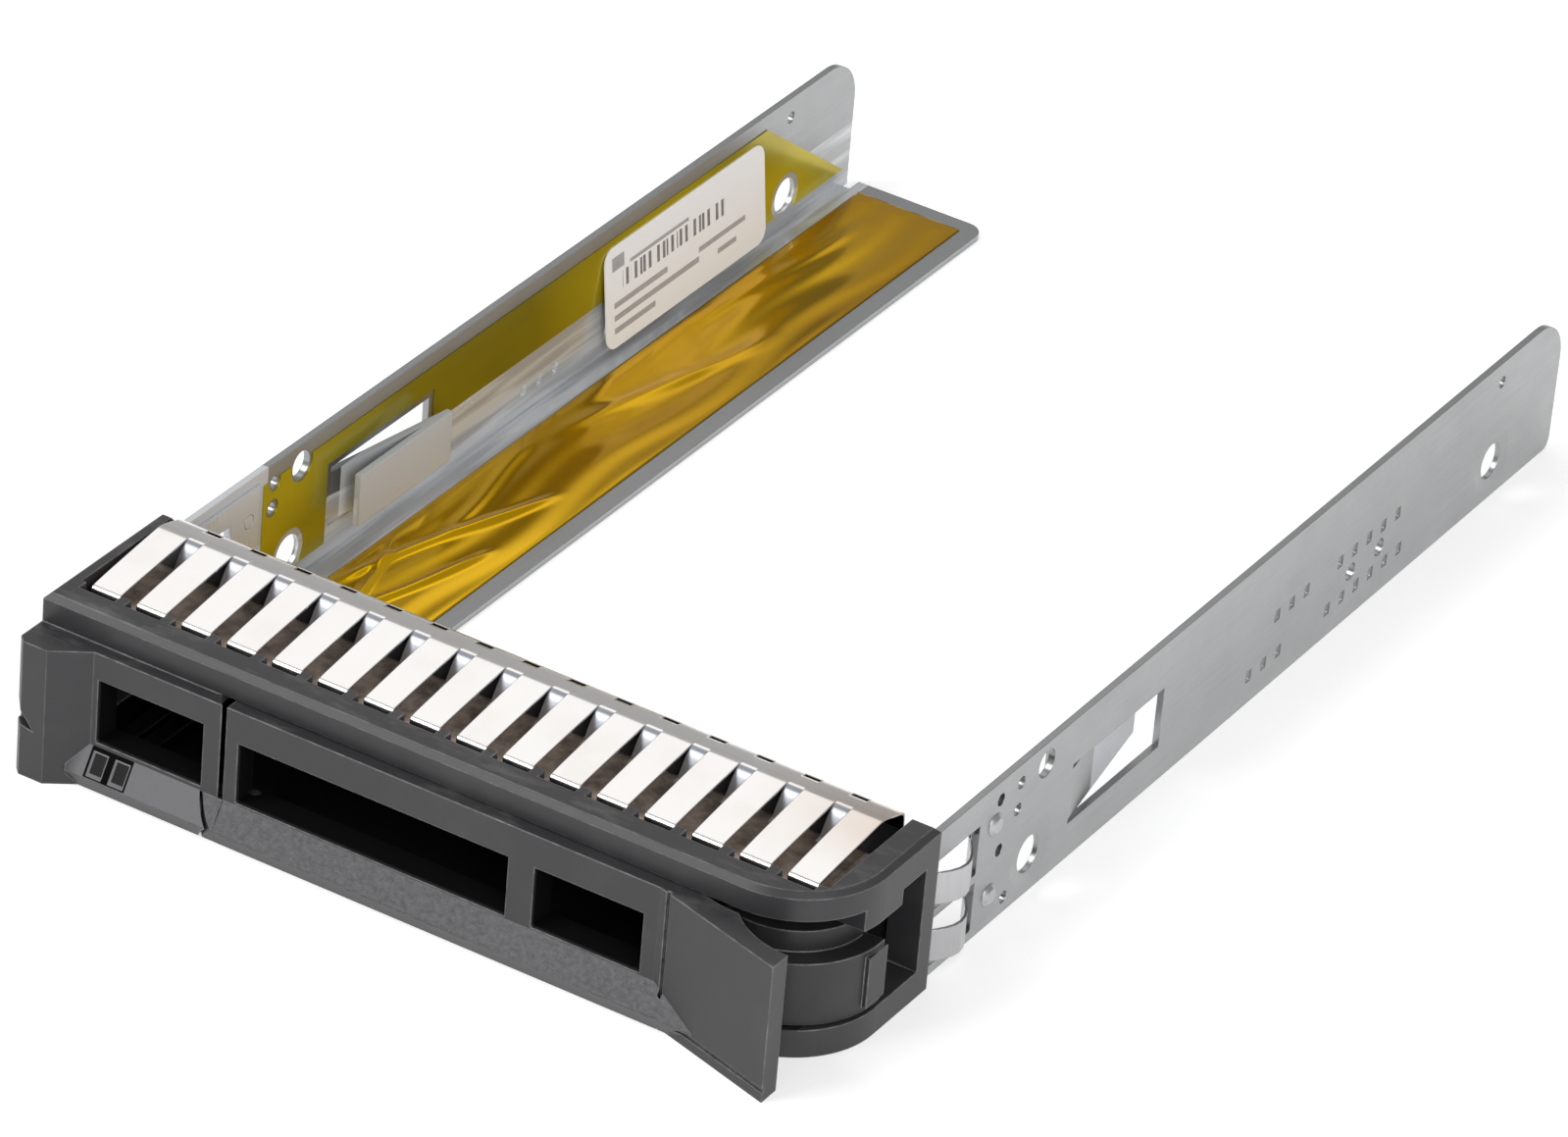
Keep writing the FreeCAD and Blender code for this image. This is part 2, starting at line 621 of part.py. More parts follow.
def add_spring_tab(body, name, side):
    """Tab lanced from the wall: it slopes inward to the rear, then folds forward as a flat panel."""
    start = back + size.tab_start
    end = start + size.tab_long
    cut_polygons(body, name + "_tab_window", "across",
                 [rectangle(start, end, size.tab_low, size.tab_low + size.tab_high)])
    panel_inner = rail_inner - size.tab_inset
    panel_outer = panel_inner + size.metal
    panel_start = start + size.tab_ramp
    fold = end - size.metal * size.tab_long / (rail_outer - panel_outer)
    profile = [(rail_inner, start - size.metal), (rail_outer, start - size.metal), (rail_outer, start),
               (panel_outer, end), (panel_inner, end), (panel_inner, panel_start),
               (panel_outer, panel_start), (panel_outer, fold), (rail_inner, start)]
    points = [(side * x, y) for x, y in profile]
    add_prism(body, name + "_tab", "up", points, size.tab_low + size.tab_slit,
              size.tab_low + size.tab_high - size.tab_slit)


def add_shelf(body, name):
    """Shelf folded in from the foot of the left wall, with a relief notch at its rear."""
    inner_edge = size.shelf_wide - rail_outer
    shelf_front = back + size.shelf_front_gap
    points = rectangle(-rail_outer, inner_edge, shelf_front, rail_end)
    add_prism(body, name + "_shelf", "up", points, as_length(0), size.metal)
    round_edges(body, name + "_shelf_corners", lambda p: near(p.x, inner_edge),
                size.shelf_corner, axis="z")
    notch_y = rail_end - size.relief_long
    notch = rectangle(-rail_inner, size.relief_wide - rail_inner, notch_y, rail_end + past)
    cut_polygons(body, name + "_relief", "up", [notch])
    round_edges(body, name + "_fold", lambda p: near(p.x, -rail_outer) and near(p.z, 0),
                size.bend_radius)


def build_core():
    """Bezel block: rounded at the right front corner and bevelled round its roof."""
    core = new_body("bezel_core")
    add_prism(core, "bezel_block", "up", rectangle(-half, half, front, back),
              as_length(0), size.bezel_high)
    round_edges(core, "bezel_corner", lambda p: near(p.x, half) and near(p.y, front),
                size.corner_round)
    round_edges(core, "bezel_bevel", lambda p: near(p.z, size.bezel_high), size.edge_bevel, "Chamfer")
    return core


def sill_profile():
    """Section of the sill from its upper edge over the lip to its foot."""
    return [(face, size.sill_top), (face - size.sill_proud, size.sill_lip),
            (face - size.sill_foot, as_length(0)), (front - size.sill_gap, as_length(0)),
            (front - size.sill_gap, size.sill_top)]


def build_fixed_section():
    """Left end of the front: ear, small window wall and its piece of the sill."""
    ear_front = face - size.ear_proud
    ear_inner = size.ear_flat - half
    wall_start = ear_inner + size.ear_slope
    inside = face + size.face_wall
    outline = [(-half, inside), (-half, ear_front + size.left_round),
               (size.left_round - half, ear_front), (ear_inner, ear_front), (wall_start, face),
               (-size.seam_left, face), (-size.seam_left, inside)]
    wall = prism("fixed_wall", "up", outline, 0, size.face_high)
    sill = prism("fixed_sill", "across", sill_profile(), wall_start - size.ear_slope / 2,
                 -size.seam_left)
    ear_notch = prism("ear_notch", "along",
                      [(-half - past, size.notch_low + size.notch_high),
                       (-half - past, size.notch_low + size.notch_rise),
                       (size.notch_deep - half, size.notch_low),
                       (-half, size.notch_low + size.notch_high)],
                      ear_front - past, ear_front + size.ear_flat / 3)
    return cut("fixed_section", fuse("fixed_front", wall, sill), ear_notch)


def plate_swing_radius():
    """Reach of the front corner of the handle plate about the hinge."""
    return hypotenuse(size.hinge_inset, size.hinge_back) + size.swing_gap


def sill_swing_radius():
    """Reach of the corner of the handle sill about the hinge."""
    return hypotenuse(size.hinge_inset, size.hinge_back + size.sill_proud) + size.swing_gap


def swing_space():
    """Room in the bezel for the seam end of the handle as it swings back and to the left."""
    heel = common("heel_space",
                  post("heel_circle", hinge_x, hinge_y, (-past, floor), sill_swing_radius()),
                  box("heel_side", (hinge_x - sill_swing_radius() - past, hinge_x),
                      (face - sill_swing_radius(), hinge_y + size.hinge_boss_radius), (-past, floor)))
    return [heel,
            post("sill_swing", hinge_x, hinge_y, (floor, size.sill_top), sill_swing_radius()),
            post("plate_swing", hinge_x, hinge_y, (size.sill_top, roof), plate_swing_radius())]


def build_gasket_recess():
    """Space for the gasket: a shallow recess with a pocket for each finger tip."""
    body = new_body("gasket_recess")
    add_prism(body, "recess_space", "up",
              rectangle(size.recess_left - half, half - size.recess_right, recess_edge, back + past),
              recess_floor, size.bezel_high + past)
    left = first_finger - size.pocket_gap
    pocket = add_prism(body, "tip_pocket", "up",
                       rectangle(left, left + size.finger_wide + 2 * size.pocket_gap,
                                 recess_edge - size.pocket_deep, recess_edge + past),
                       recess_floor, size.bezel_high + past)
    repeat(body, "tip_pockets", pocket, size.finger_count)
    return body


def repeat(body, name, feature, count):
    """Copies of a feature along X at the finger pitch."""
    pattern = body.newObject("PartDesign::LinearPattern", name)
    pattern.Originals = [feature]
    pattern.Direction = (origin_feature(body, "X_Axis"), [""])
    bind(pattern, Length=size.finger_pitch * (count - 1), Occurrences=count)
    body.Tip = pattern
    doc.recompute()
    return pattern


def latch_space():
    """Openings at the right corner: the latch bay and the stepped side port above it."""
    bay_rear = latch_y - size.rib_wide
    step_y = back - size.port_rear - size.port_step_long
    port_top = floor + size.port_high
    return [box("front_bay", (-size.seam_left, half + past), (face - size.flare_proud, bay_rear),
                (floor, roof)),
            box("side_port", (wall_inside - past, half + past), (bay_rear - past, back - size.port_rear),
                (floor, port_top)),
            box("side_port_step", (wall_inside - past, half + past), (step_y, back - size.port_rear),
                (floor, port_top + size.port_step))]


def pipe_left(number):
    """Left side of a light pipe."""
    return size.ear_flat - half + size.ear_slope + size.pipe_start + number * size.pipe_step


def build_bezel():
    """One moulding: block, fixed front section and every opening."""
    fixed = build_fixed_section()
    block = cut("bezel_blank", build_core(), *latch_space())
    cavity = box("cavity", (-wall_inside, wall_inside), (face + size.face_wall, back - size.rear_wall),
                 (floor, roof))
    ports = [box("air_port_%d" % (i + 2),
                 (i * size.vent_port_step - size.vent_port_wide / 2,
                  i * size.vent_port_step + size.vent_port_wide / 2),
                 (back - size.rear_wall - past, back + past),
                 (floor + size.vent_port_edge, roof - size.vent_port_edge)) for i in (-past, 0, 1)]
    window = box("small_window",
                 (-size.seam_left - size.window_edge - size.window_wide,
                  -size.seam_left - size.window_edge),
                 (face - past, front + size.face_wall),
                 (size.window_low, size.window_low + size.window_tall))
    rail_slots = []
    for side, word in ((-past, "left"), (1, "right")):
        x_low, x_high = sided(side, rail_inner - size.fit_gap, rail_outer + size.fit_gap)
        rail_slots.append(box(word + "_rail_slot", (x_low, x_high),
                              (back - size.rail_post_depth - size.fit_gap, back + past),
                              (-past, size.rail_high + size.fit_gap)))
        rail_slots.append(box(word + "_tongue_slot", (x_low, x_high),
                              (back - size.tongue_reach - size.fit_gap, back + past),
                              (-past, size.tongue_high + size.fit_gap)))
    pipes = []
    for number in range(2):
        x_low = pipe_left(number) - size.fit_gap
        x_high = x_low + size.pipe_wide + 2 * size.fit_gap
        pipes.append(box("lens_hole_%d" % (number + 1), (x_low, x_high),
                         (face - size.sill_proud - past, front + size.fit_gap),
                         (size.pipe_low - size.fit_gap, size.pipe_top + size.fit_gap)))
        pipes.append(box("stem_hole_%d" % (number + 1), (x_low, x_high), (front - past, back + past),
                         (floor, size.pipe_top + size.fit_gap)))
    pin_top = roof + size.hinge_pin_grip
    hinge_bore = post("hinge_bore", hinge_x, hinge_y, (-past, pin_top), size.hinge_pin_radius)
    latch_bore = post("latch_bore", size.latch_pivot_x, latch_y, (-past, latch_pin_top),
                      size.latch_pin_radius)
    hollow = cut("bezel_hollow", block, cavity, *ports)
    cleared = cut("bezel_cleared", fuse("bezel_solid", hollow, fixed), *swing_space())
    boss = post("hinge_boss", hinge_x, hinge_y, (0, floor), size.hinge_boss_radius)
    parts["bezel_frame"] = cut("bezel_frame", fuse("bezel_bossed", cleared, boss), window,
                               build_gasket_recess(), hinge_bore, latch_bore, *rail_slots, *pipes)


def build_handle():
    """Swinging front: plate with two windows, sill, flared grip, hinge ears and catch hook."""
    plate_low = floor + size.handle_float
    plate_rear = face + size.handle_plate
    flare_root = size.flare_start - size.handle_plate
    flare_run = size.flare_end - size.flare_start
    plate = prism("handle_plate_body", "up",
                  rectangle(handle_left, size.flare_start, face, plate_rear),
                  plate_low, size.face_high)
    sill_end = size.flare_start + flare_run * size.sill_proud / size.flare_proud
    sill = prism("handle_sill", "across", sill_profile(), handle_left, sill_end)
    tip_front = face - size.flare_proud
    tip_rear = tip_front + size.tip_thick
    flare = prism("handle_flare", "up",
                  [(flare_root, face), (size.flare_start, face), (size.flare_end, tip_front),
                   (size.flare_end, plate_rear), (flare_root, plate_rear)],
                  plate_low, size.face_high)
    flare_foot = prism("handle_flare_foot", "up",
                       [(flare_root, face), (size.flare_start, face), (size.flare_end, tip_front),
                        (size.flare_end, front - size.sill_gap), (flare_root, front - size.sill_gap)],
                       0, plate_low)
    ears = [post("lower_ear", hinge_x, hinge_y, (plate_low, size.sill_top + size.ear_bite),
                 size.hinge_boss_radius),
            post("upper_ear", hinge_x, hinge_y,
                 (size.handle_windows_low + size.handle_windows_tall, size.face_high),
                 size.hinge_boss_radius)]
    hook_x = latch_nose_x() - size.catch_gap
    hook_rear = plate_rear + size.hook_back
    hook_z = (size.hook_low, size.hook_low + size.hook_high)
    arm_left = hook_x - size.hook_thick - size.hook_arm
    hook = [box("hook_arm_box", (arm_left, arm_left + size.hook_arm), (plate_rear - size.hook_thick / 2, hook_rear),
                hook_z),
            box("hook_nose_box", (arm_left, hook_x), (hook_rear - size.hook_thick, hook_rear), hook_z)]
    solid = fuse("handle_solid", plate, sill, flare, flare_foot, *ears, *hook)
    window_z = (size.handle_windows_low, size.handle_windows_low + size.handle_windows_tall)
    window_y = (face - size.handle_plate, plate_rear + size.sill_gap)
    long_left = handle_left + size.handle_post
    short_left = long_left + size.long_window_wide + size.mullion
    windows = [box("long_window", (long_left, long_left + size.long_window_wide), window_y, window_z),
               box("short_window", (short_left, short_left + size.short_window_wide), window_y,
                   window_z)]
    full_height = (-past, size.bezel_high + past)
    scoop = post("finger_scoop", size.flare_end, tip_rear + size.scoop_radius, full_height,
                 size.scoop_radius)
    latch_clear = post("latch_clearance", size.latch_pivot_x, latch_y, full_height,
                       size.latch_radius + size.latch_gap)
    heel = post("heel_scoop", hinge_x, hinge_y, (-past, plate_low),
                size.hinge_boss_radius + size.sill_gap)
    upright = prism("upright_groove", "up", groove_outline(size.groove_start,
                                                           size.groove_start + size.groove_wide),
                    -size.slab, size.bezel_high)
    level = prism("level_groove", "up", groove_outline(size.groove_start, flare_run + size.groove_wide),
                  size.groove_low, size.groove_low + size.groove_wide)
    bore = post("handle_bore", hinge_x, hinge_y, full_height, size.hinge_pin_radius + size.fit_gap)
    parts["handle"] = cut("handle", solid, scoop, latch_clear, heel, bore, upright, level, *windows)


def groove_outline(near_run, far_run):
    """Strip along the sloping front of the grip, between two distances from the grip's start."""
    slope = size.flare_proud / (size.flare_end - size.flare_start)
    outside = [(size.flare_start + run, face - slope * run - size.groove_deep)
               for run in (near_run, far_run)]
    inside = [(size.flare_start + run, face - slope * run + size.groove_deep)
              for run in (far_run, near_run)]
    return outside + inside


def latch_start_angle():
    """Direction of the front end of the latch about its pin, in degrees."""
    return -size.latch_sweep


def latch_nose_x():
    """Left-most point of the latch, from the middle of the caddy."""
    angle = math.radians(size.latch_sweep.value)
    value = size.latch_pivot_x.value + size.latch_radius.value * math.cos(angle)
    return Length(value, "(%s + %s * cos(%s))" % (size.latch_pivot_x.text, size.latch_radius.text,
                                                  size.latch_sweep.text))


def latch_sector(name, radius, z_range, start, sweep):
    """Upright sector about the latch pin."""
    item = post(name, size.latch_pivot_x, latch_y, z_range, radius)
    bind(item, Angle=sweep)
    item.Placement.Rotation = FreeCAD.Rotation(FreeCAD.Vector(0, 0, 1), as_length(start).value)
    return item


def build_latch():
    """Quarter drum: roof, curved outer wall, hub round the pin and a thumb rib."""
    start = latch_start_angle()
    drum = latch_sector("latch_drum", size.latch_radius, (latch_low, latch_top), start,
                        size.latch_sweep + size.drum_overlap)
    inner = size.latch_radius - size.latch_wall
    hollow = post("latch_hollow", size.latch_pivot_x, latch_y, (latch_low - past, latch_top - size.latch_roof),
                  inner)
    shell = cut("latch_shell", drum, hollow)
    collar = latch_sector("latch_collar", size.latch_collar_radius, (latch_top, collar_top), start,
                          size.latch_sweep)
    hub = post("latch_hub", size.latch_pivot_x, latch_y, (latch_low, collar_top), size.latch_hub_radius)
    rib_x = half - size.rib_deep
    rib = box("thumb_rib", (rib_x, half), (latch_y + size.rib_rear - size.rib_wide, latch_y + size.rib_rear),
              (latch_low + size.rib_drop, latch_top - size.rib_drop))
    bore = post("latch_hub_bore", size.latch_pivot_x, latch_y, (latch_low - past, collar_top + past),
                size.latch_pin_radius + size.fit_gap)
    parts["latch"] = cut("latch", fuse("latch_solid", shell, collar, hub, rib), bore)


def build_pins():
    """Hinge pins pressed into roof and floor, and the latch pin."""
    ear_low = size.handle_windows_low + size.handle_windows_tall
    parts["handle_pin_upper"] = post("handle_pin_upper", hinge_x, hinge_y,
                                     (ear_low + size.fit_gap, roof + size.hinge_pin_grip),
                                     size.hinge_pin_radius)
    parts["handle_pin_lower"] = post("handle_pin_lower", hinge_x, hinge_y,
                                     (floor - size.hinge_pin_grip, size.sill_top),
                                     size.hinge_pin_radius)
    parts["latch_pin"] = post("latch_pin", size.latch_pivot_x, latch_y,
                              (floor - size.hinge_pin_grip, latch_pin_top), size.latch_pin_radius)


def build_latch_spring():
    """Torsion spring round the latch pin: closed turns as one sleeve, and a leg to the rear."""
    low = collar_top + size.coil_lift
    high = low + size.coil_turns * size.coil_wire * 2
    outside = post("coil_outside", size.latch_pivot_x, latch_y, (low, high),
                   size.coil_radius + size.coil_wire)
    inside = post("coil_inside", size.latch_pivot_x, latch_y, (low - past, high + past),
                  size.coil_radius - size.coil_wire)
    leg_x = size.latch_pivot_x + size.coil_radius
    leg_half = size.coil_wire * size.coil_squash
    leg = box("coil_leg", (leg_x - leg_half, leg_x + leg_half), (latch_y, back - size.rear_wall),
              (high - leg_half * 2, high))
    parts["latch_spring"] = fuse("latch_spring", cut("coil_sleeve", outside, inside), leg)


def build_handle_spring():
    """Leaf under the roof: rooted beside the hinge, its free leg bearing on the handle."""
    rear = face + size.handle_plate + size.sill_gap
    leaf = size.spring_leaf
    root = hinge_x - size.spring_foot
    heel_y = hinge_y + size.hinge_boss_radius + size.spring_foot
    bearing = hinge_x + size.spring_reach
    toe = bearing + size.spring_toe
    outline = [(root, heel_y), (hinge_x, heel_y), (bearing, rear), (toe, rear), (toe, rear + leaf),
               (bearing, rear + leaf), (hinge_x, heel_y + leaf), (root, heel_y + leaf)]
    parts["handle_spring"] = prism("handle_spring", "up", outline, roof - size.spring_tall, roof)


def build_gasket():
    """Contact gasket: flange, band, web and base in one strip, with lanced fingers over it."""
    metal = size.gasket_metal
    body = new_body("finger_gasket")
    crest_y = back - size.crest_back
    crest_z = size.bezel_high + size.crest_rise
    base_low = recess_floor
    curl = (crest_y - size.curl_long, crest_z - size.curl_drop)
    web_y = crest_y - size.web_setback
    web_top = crest_z - size.web_drop
    flange_y = back + size.fit_gap
    flange_low = roof - size.flange_drop
    flange_top = size.bezel_high - size.flange_bend
    base_front = recess_edge + size.base_gap
    upper = [(flange_y + metal, flange_low), (flange_y + metal, flange_top),
             (flange_y - size.flange_lean, size.bezel_high), (crest_y, crest_z), curl,
             (web_y, web_top), (web_y, base_low + metal)]
    lower = [(base_front, base_low + metal), (base_front, base_low), (web_y + metal, base_low),
             (web_y + metal, web_top - metal / 2), (curl[0] + metal / 2, curl[1] - metal),
             (crest_y - metal / 2, crest_z - metal),
             (flange_y - size.flange_lean - metal / 2, size.bezel_high - metal),
             (flange_y, flange_top - metal), (flange_y, flange_low)]
    last_finger = first_finger + size.finger_pitch * (size.finger_count - 1)
    add_prism(body, "gasket_strip", "across", upper + lower, first_finger,
              last_finger + size.finger_wide)
    tip_y = recess_edge - size.pocket_deep + size.tip_gap
    tip_z = recess_floor + size.tip_rise
    level_end = crest_y - size.finger_flat
    finger = [(crest_y + size.finger_root, crest_z - metal), (crest_y, crest_z),
              (level_end, crest_z), (tip_y + size.tip_flat, tip_z + metal), (tip_y, tip_z),
              (tip_y, tip_z - metal), (tip_y + size.tip_flat, tip_z), (level_end, crest_z - metal)]
    pad = add_prism(body, "gasket_finger", "across", finger, first_finger,
                    first_finger + size.finger_wide)
    repeat(body, "gasket_fingers", pad, size.finger_count)
    gap = size.finger_pitch - size.finger_wide
    slot_start = first_finger + size.finger_wide
    sketch = new_sketch(body, "band_slot_outline", "XY_Plane", size.bezel_high)
    slot_rear = back - size.band_slot_back
    draw_polygon(sketch, rectangle(slot_start - size.band_slot_side,
                                   slot_start + gap + size.band_slot_side,
                                   slot_rear - size.band_slot_long, slot_rear))
    slot = cut_through(body, "band_slot", sketch)
    bind(slot, Length=size.band_slot_deep)
    repeat(body, "band_slots", slot, size.finger_count - 1)
    parts["finger_gasket"] = body


def build_side_contact(name, side):
    """Spring clip inside a rail, with two straps bowed out through the rail's windows."""
    body = new_body(name)
    metal = size.clip_metal
    x_low, x_high = sided(side, rail_inner - metal, rail_inner)
    start = back + size.clip_edge_gap
    low = (size.rail_high - size.clip_high) / 2
    add_prism(body, name + "_plate", "across",
              rectangle(start, start + size.clip_long, low, low + size.clip_high), x_low, x_high)
    window_start = back + size.clip_window_start
    gap = size.clip_edge_gap
    for row, window_low in enumerate(clip_window_rows()):
        cut_polygons(body, "%s_slot_%d" % (name, row + 1), "across",
                     [rectangle(window_start + gap, window_start + size.clip_window_long - gap,
                                window_low + gap, window_low + size.clip_window_high - gap)])
        add_strap(body, "%s_strap_%d" % (name, row + 1), side, window_start + gap,
                  size.clip_window_long - 2 * gap, window_low + gap)
    cut_circles(body, name + "_rivet_holes", "across",
                [(y, z, size.rivet_radius + size.fit_gap) for y, z in rivet_places()])
    parts[name] = body


def add_strap(body, name, side, start, length, low):
    """Strap that leaves the plate, bows out past the rail and comes back, drawn by a half sine."""
    steps = 8
    rise = size.metal + size.clip_bow + size.clip_metal
    bow = [(i / steps, math.sin(math.pi * i / steps)) for i in range(steps + 1)]
    outer = [(side * (rail_inner + rise * out), start + share * length) for share, out in bow]
    inner = [(side * (rail_inner - size.clip_metal + rise * out), start + share * length)
             for share, out in reversed(bow)]
    add_prism(body, name, "up", outer + inner, low, low + size.clip_strap_high)


def build_rivets(name, side):
    """Two rivets that hold a side contact on its rail, set flush inside so that the drive passes."""
    shapes = []
    for row, (y, z) in enumerate(rivet_places()):
        shank = doc.addObject("Part::Cylinder", "%s_shank_%d" % (name, row + 1))
        bind(shank, Radius=size.rivet_radius, Height=size.metal + size.clip_metal)
        bind_base(shank, side * (rail_inner - size.clip_metal), y, z)
        head = doc.addObject("Part::Cone", "%s_head_%d" % (name, row + 1))
        bind(head, Radius1=size.rivet_head_radius, Radius2=size.rivet_radius,
             Height=size.rivet_head_high)
        bind_base(head, side * rail_outer, y, z)
        for piece in (shank, head):
            piece.Placement.Rotation = FreeCAD.Rotation(FreeCAD.Vector(0, 1, 0), 90 * side)
        shapes += [shank, head]
    parts[name] = fuse(name, *shapes)


def build_films():
    """Insulating film on the shelf and on the inside of the left wall, holes kept clear."""
    shelf_low_x = size.shelf_film_inner - rail_inner
    shelf_high_x = size.shelf_wide - rail_outer - size.shelf_film_edge
    shelf_start = back + size.shelf_front_gap + size.shelf_film_edge
    parts["shelf_film"] = prism("shelf_film", "up",
                                rectangle(shelf_low_x, shelf_high_x, shelf_start,
                                          rail_end - size.shelf_film_edge),
                                size.metal, size.metal + size.film)
    wall = new_body("wall_film")
    top = size.rail_high - size.wall_film_top
    start = back + size.film_front
    step = back + size.tab_start - size.film_hole_margin
    low = size.wall_film_foot + size.metal
    rear_step = rail_end - size.label_setback - size.label_corner
    rear = rail_end - size.wall_film_rear
    outline = [(start, low), (step, low), (step, size.wall_film_low),
               (rear_step, size.wall_film_low), (rear_step, low), (rear, low),
               (rear - size.wall_film_slant, top), (start, top)]
    add_prism(wall, "wall_film_pad", "across", outline, -rail_inner, size.film - rail_inner)
    margin = size.film_hole_margin
    cut_polygons(wall, "wall_film_tab", "across",
                 [rectangle(step, back + size.tab_start + size.tab_long + margin,
                            size.tab_low - margin, size.tab_low + size.tab_high + margin)])
    holes = [(y, screw_high, size.screw_hole_radius + margin) for y in (rear_screw, front_screw)]
    holes += [(y, z, radius + margin / 2) for y, z, radius in front_hole_circles()
              if y.value - radius.value - margin.value > start.value and z.value > low.value]
    cut_circles(wall, "wall_film_holes", "across", holes)
    parts["wall_film"] = wall


def build_label():
    """Blank label on the wall film, leaning in at its lower edge."""
    label = new_body("label")
    add_prism(label, "label_pad", "across",
              rectangle(as_length(0), size.label_long, -size.label_tall, as_length(0)),
              as_length(0), size.label_thick)
    round_edges(label, "label_corners", lambda p: True, size.label_corner, axis="x")
    lean = size.label_lean.value
    label.Placement.Rotation = FreeCAD.Rotation(FreeCAD.Vector(0, 1, 0), -lean)
    bind_base(label, size.film - rail_inner, rail_end - size.label_setback - size.label_long,
              size.metal + size.label_low + size.label_tall)
    parts["label"] = label


def build_light_pipes():
    """Clear bars that carry the lamps of the backplane to the sill."""
    stem_low = size.pipe_top - size.pipe_stem
    slope = (size.pipe_top - size.sill_lip) / (size.sill_top - size.sill_lip)
    low_slope = (size.pipe_low - size.sill_lip) / (size.sill_top - size.sill_lip)
    profile = [(back - size.fit_gap, size.pipe_top),
               (face - size.sill_proud * (1 - slope), size.pipe_top),
               (face - size.sill_proud * (1 - low_slope), size.pipe_low),
               (front, size.pipe_low), (front, stem_low), (back - size.fit_gap, stem_low)]
    for number, name in enumerate(("activity_light_pipe", "status_light_pipe")):
        x = pipe_left(number)
        parts[name] = prism(name, "across", profile, x, x + size.pipe_wide)


build_bezel()
build_handle()
build_latch()
build_pins()
build_latch_spring()
build_handle_spring()
build_rail("left_rail", -1)
build_rail("right_rail", 1)
build_gasket()
build_side_contact("left_side_contact", -1)
build_side_contact("right_side_contact", 1)
build_rivets("left_contact_rivets", -1)
build_rivets("right_contact_rivets", 1)
build_films()
build_label()
build_light_pipes()
doc.recompute()

for item in doc.Objects:
    if "Invalid" in item.State or "Error" in item.State:
        raise RuntimeError("%s failed: %s" % (item.Name, item.State))
for name, item in parts.items():
    if item.Shape.isNull() or not item.Shape.isValid():
        raise RuntimeError("%s has no valid shape" % name)
for name, item in parts.items():
    item.Label = name
    item.Shape.exportStep("parts/%s.step" % name)
    print(name, len(item.Shape.Solids), round(item.Shape.Volume, 2))
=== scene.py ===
"""Looks of the hot swap drive caddy, in metres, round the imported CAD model.

Laid out as an add-on and run as a script: each operator makes or finishes one piece or group of
like pieces, and main() calls them in order.  X runs across the bezel, +Y to the rear ends of the
rails and +Z up.
"""

import math

import bmesh
import bpy
import numpy as np
from bpy.props import FloatProperty, FloatVectorProperty, IntProperty, PointerProperty
from mathutils import Matrix, Vector


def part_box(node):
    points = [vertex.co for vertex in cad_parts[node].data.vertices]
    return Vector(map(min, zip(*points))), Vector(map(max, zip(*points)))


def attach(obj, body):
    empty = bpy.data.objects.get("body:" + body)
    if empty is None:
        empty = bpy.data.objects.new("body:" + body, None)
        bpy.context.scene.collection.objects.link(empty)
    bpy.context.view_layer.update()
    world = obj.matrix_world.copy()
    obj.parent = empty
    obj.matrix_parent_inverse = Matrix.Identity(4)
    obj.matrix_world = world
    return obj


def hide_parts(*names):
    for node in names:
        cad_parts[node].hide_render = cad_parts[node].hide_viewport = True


bl_info = {
    "name": "Hot swap drive caddy looks",
    "version": (1, 0, 0),
    "blender": (4, 5, 0),
    "location": "View3D > Sidebar > Drive caddy",
    "description": "Dresses the packed drive caddy: plastics, sheet metal, contact gasket, films "
                   "and label",
    "category": "Object",
}

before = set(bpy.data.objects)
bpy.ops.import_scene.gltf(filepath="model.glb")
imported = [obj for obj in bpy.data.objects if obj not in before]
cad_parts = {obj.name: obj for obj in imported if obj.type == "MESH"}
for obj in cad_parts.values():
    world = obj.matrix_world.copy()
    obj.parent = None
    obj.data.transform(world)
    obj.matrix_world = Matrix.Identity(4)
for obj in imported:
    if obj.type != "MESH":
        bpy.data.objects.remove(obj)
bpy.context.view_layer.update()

# Places on the solids that the finishes and the new pieces go by, in metres.
MM = 0.001
NEAR = 0.05 * MM  # a place this close to a plane lies on it
FRONT_PLANE = -58.7 * MM  # front of the handle and of the fixed section
FACE_TOP = 12.4 * MM  # their height
BEZEL_TOP = 15.0 * MM
LEDGE_TOP = 3.8 * MM  # upper edge of the sill's sloping ledge
LEDGE_SLOPE = 1.4 / 2.3  # how far the ledge runs back for each metre that it rises
LIP_HEIGHT = 1.5 * MM  # lower edge of the ledge
# The ledge is painted pale, standing in for the light from above that falls on it.
LEDGE_START = (-32.4 * MM, -30.9 * MM)  # it grows pale between these, beside the ear
FOOT_PROUD = 0.5 * MM  # foot of the sill ahead of the front plane
HINGE = (-16.6 * MM, -56.3 * MM)

# The inside of the bezel, painted dark as shade, and the light pipes' sockets in the ledge with
# their lenses, also painted dark as shade.
INSIDE_REACH = 33.5 * MM  # half its width
INSIDE_FRONT = (-58.6 * MM, -58.2 * MM)  # it grows dark between these
INSIDE_REAR = -42.6 * MM
INSIDE_HEIGHT = (2.4 * MM, 11.3 * MM)
LATCH_BAY = (20.0 * MM, 21.0 * MM)  # right of these it is about half as dark
SOCKETS = (-30.42 * MM, -26.45 * MM)
SOCKET_LOW = 1.6 * MM
LENSES = ((-29.96 * MM, -28.82 * MM), (-27.86 * MM, -26.72 * MM))
LENS_HEIGHT = (1.98 * MM, 3.42 * MM)
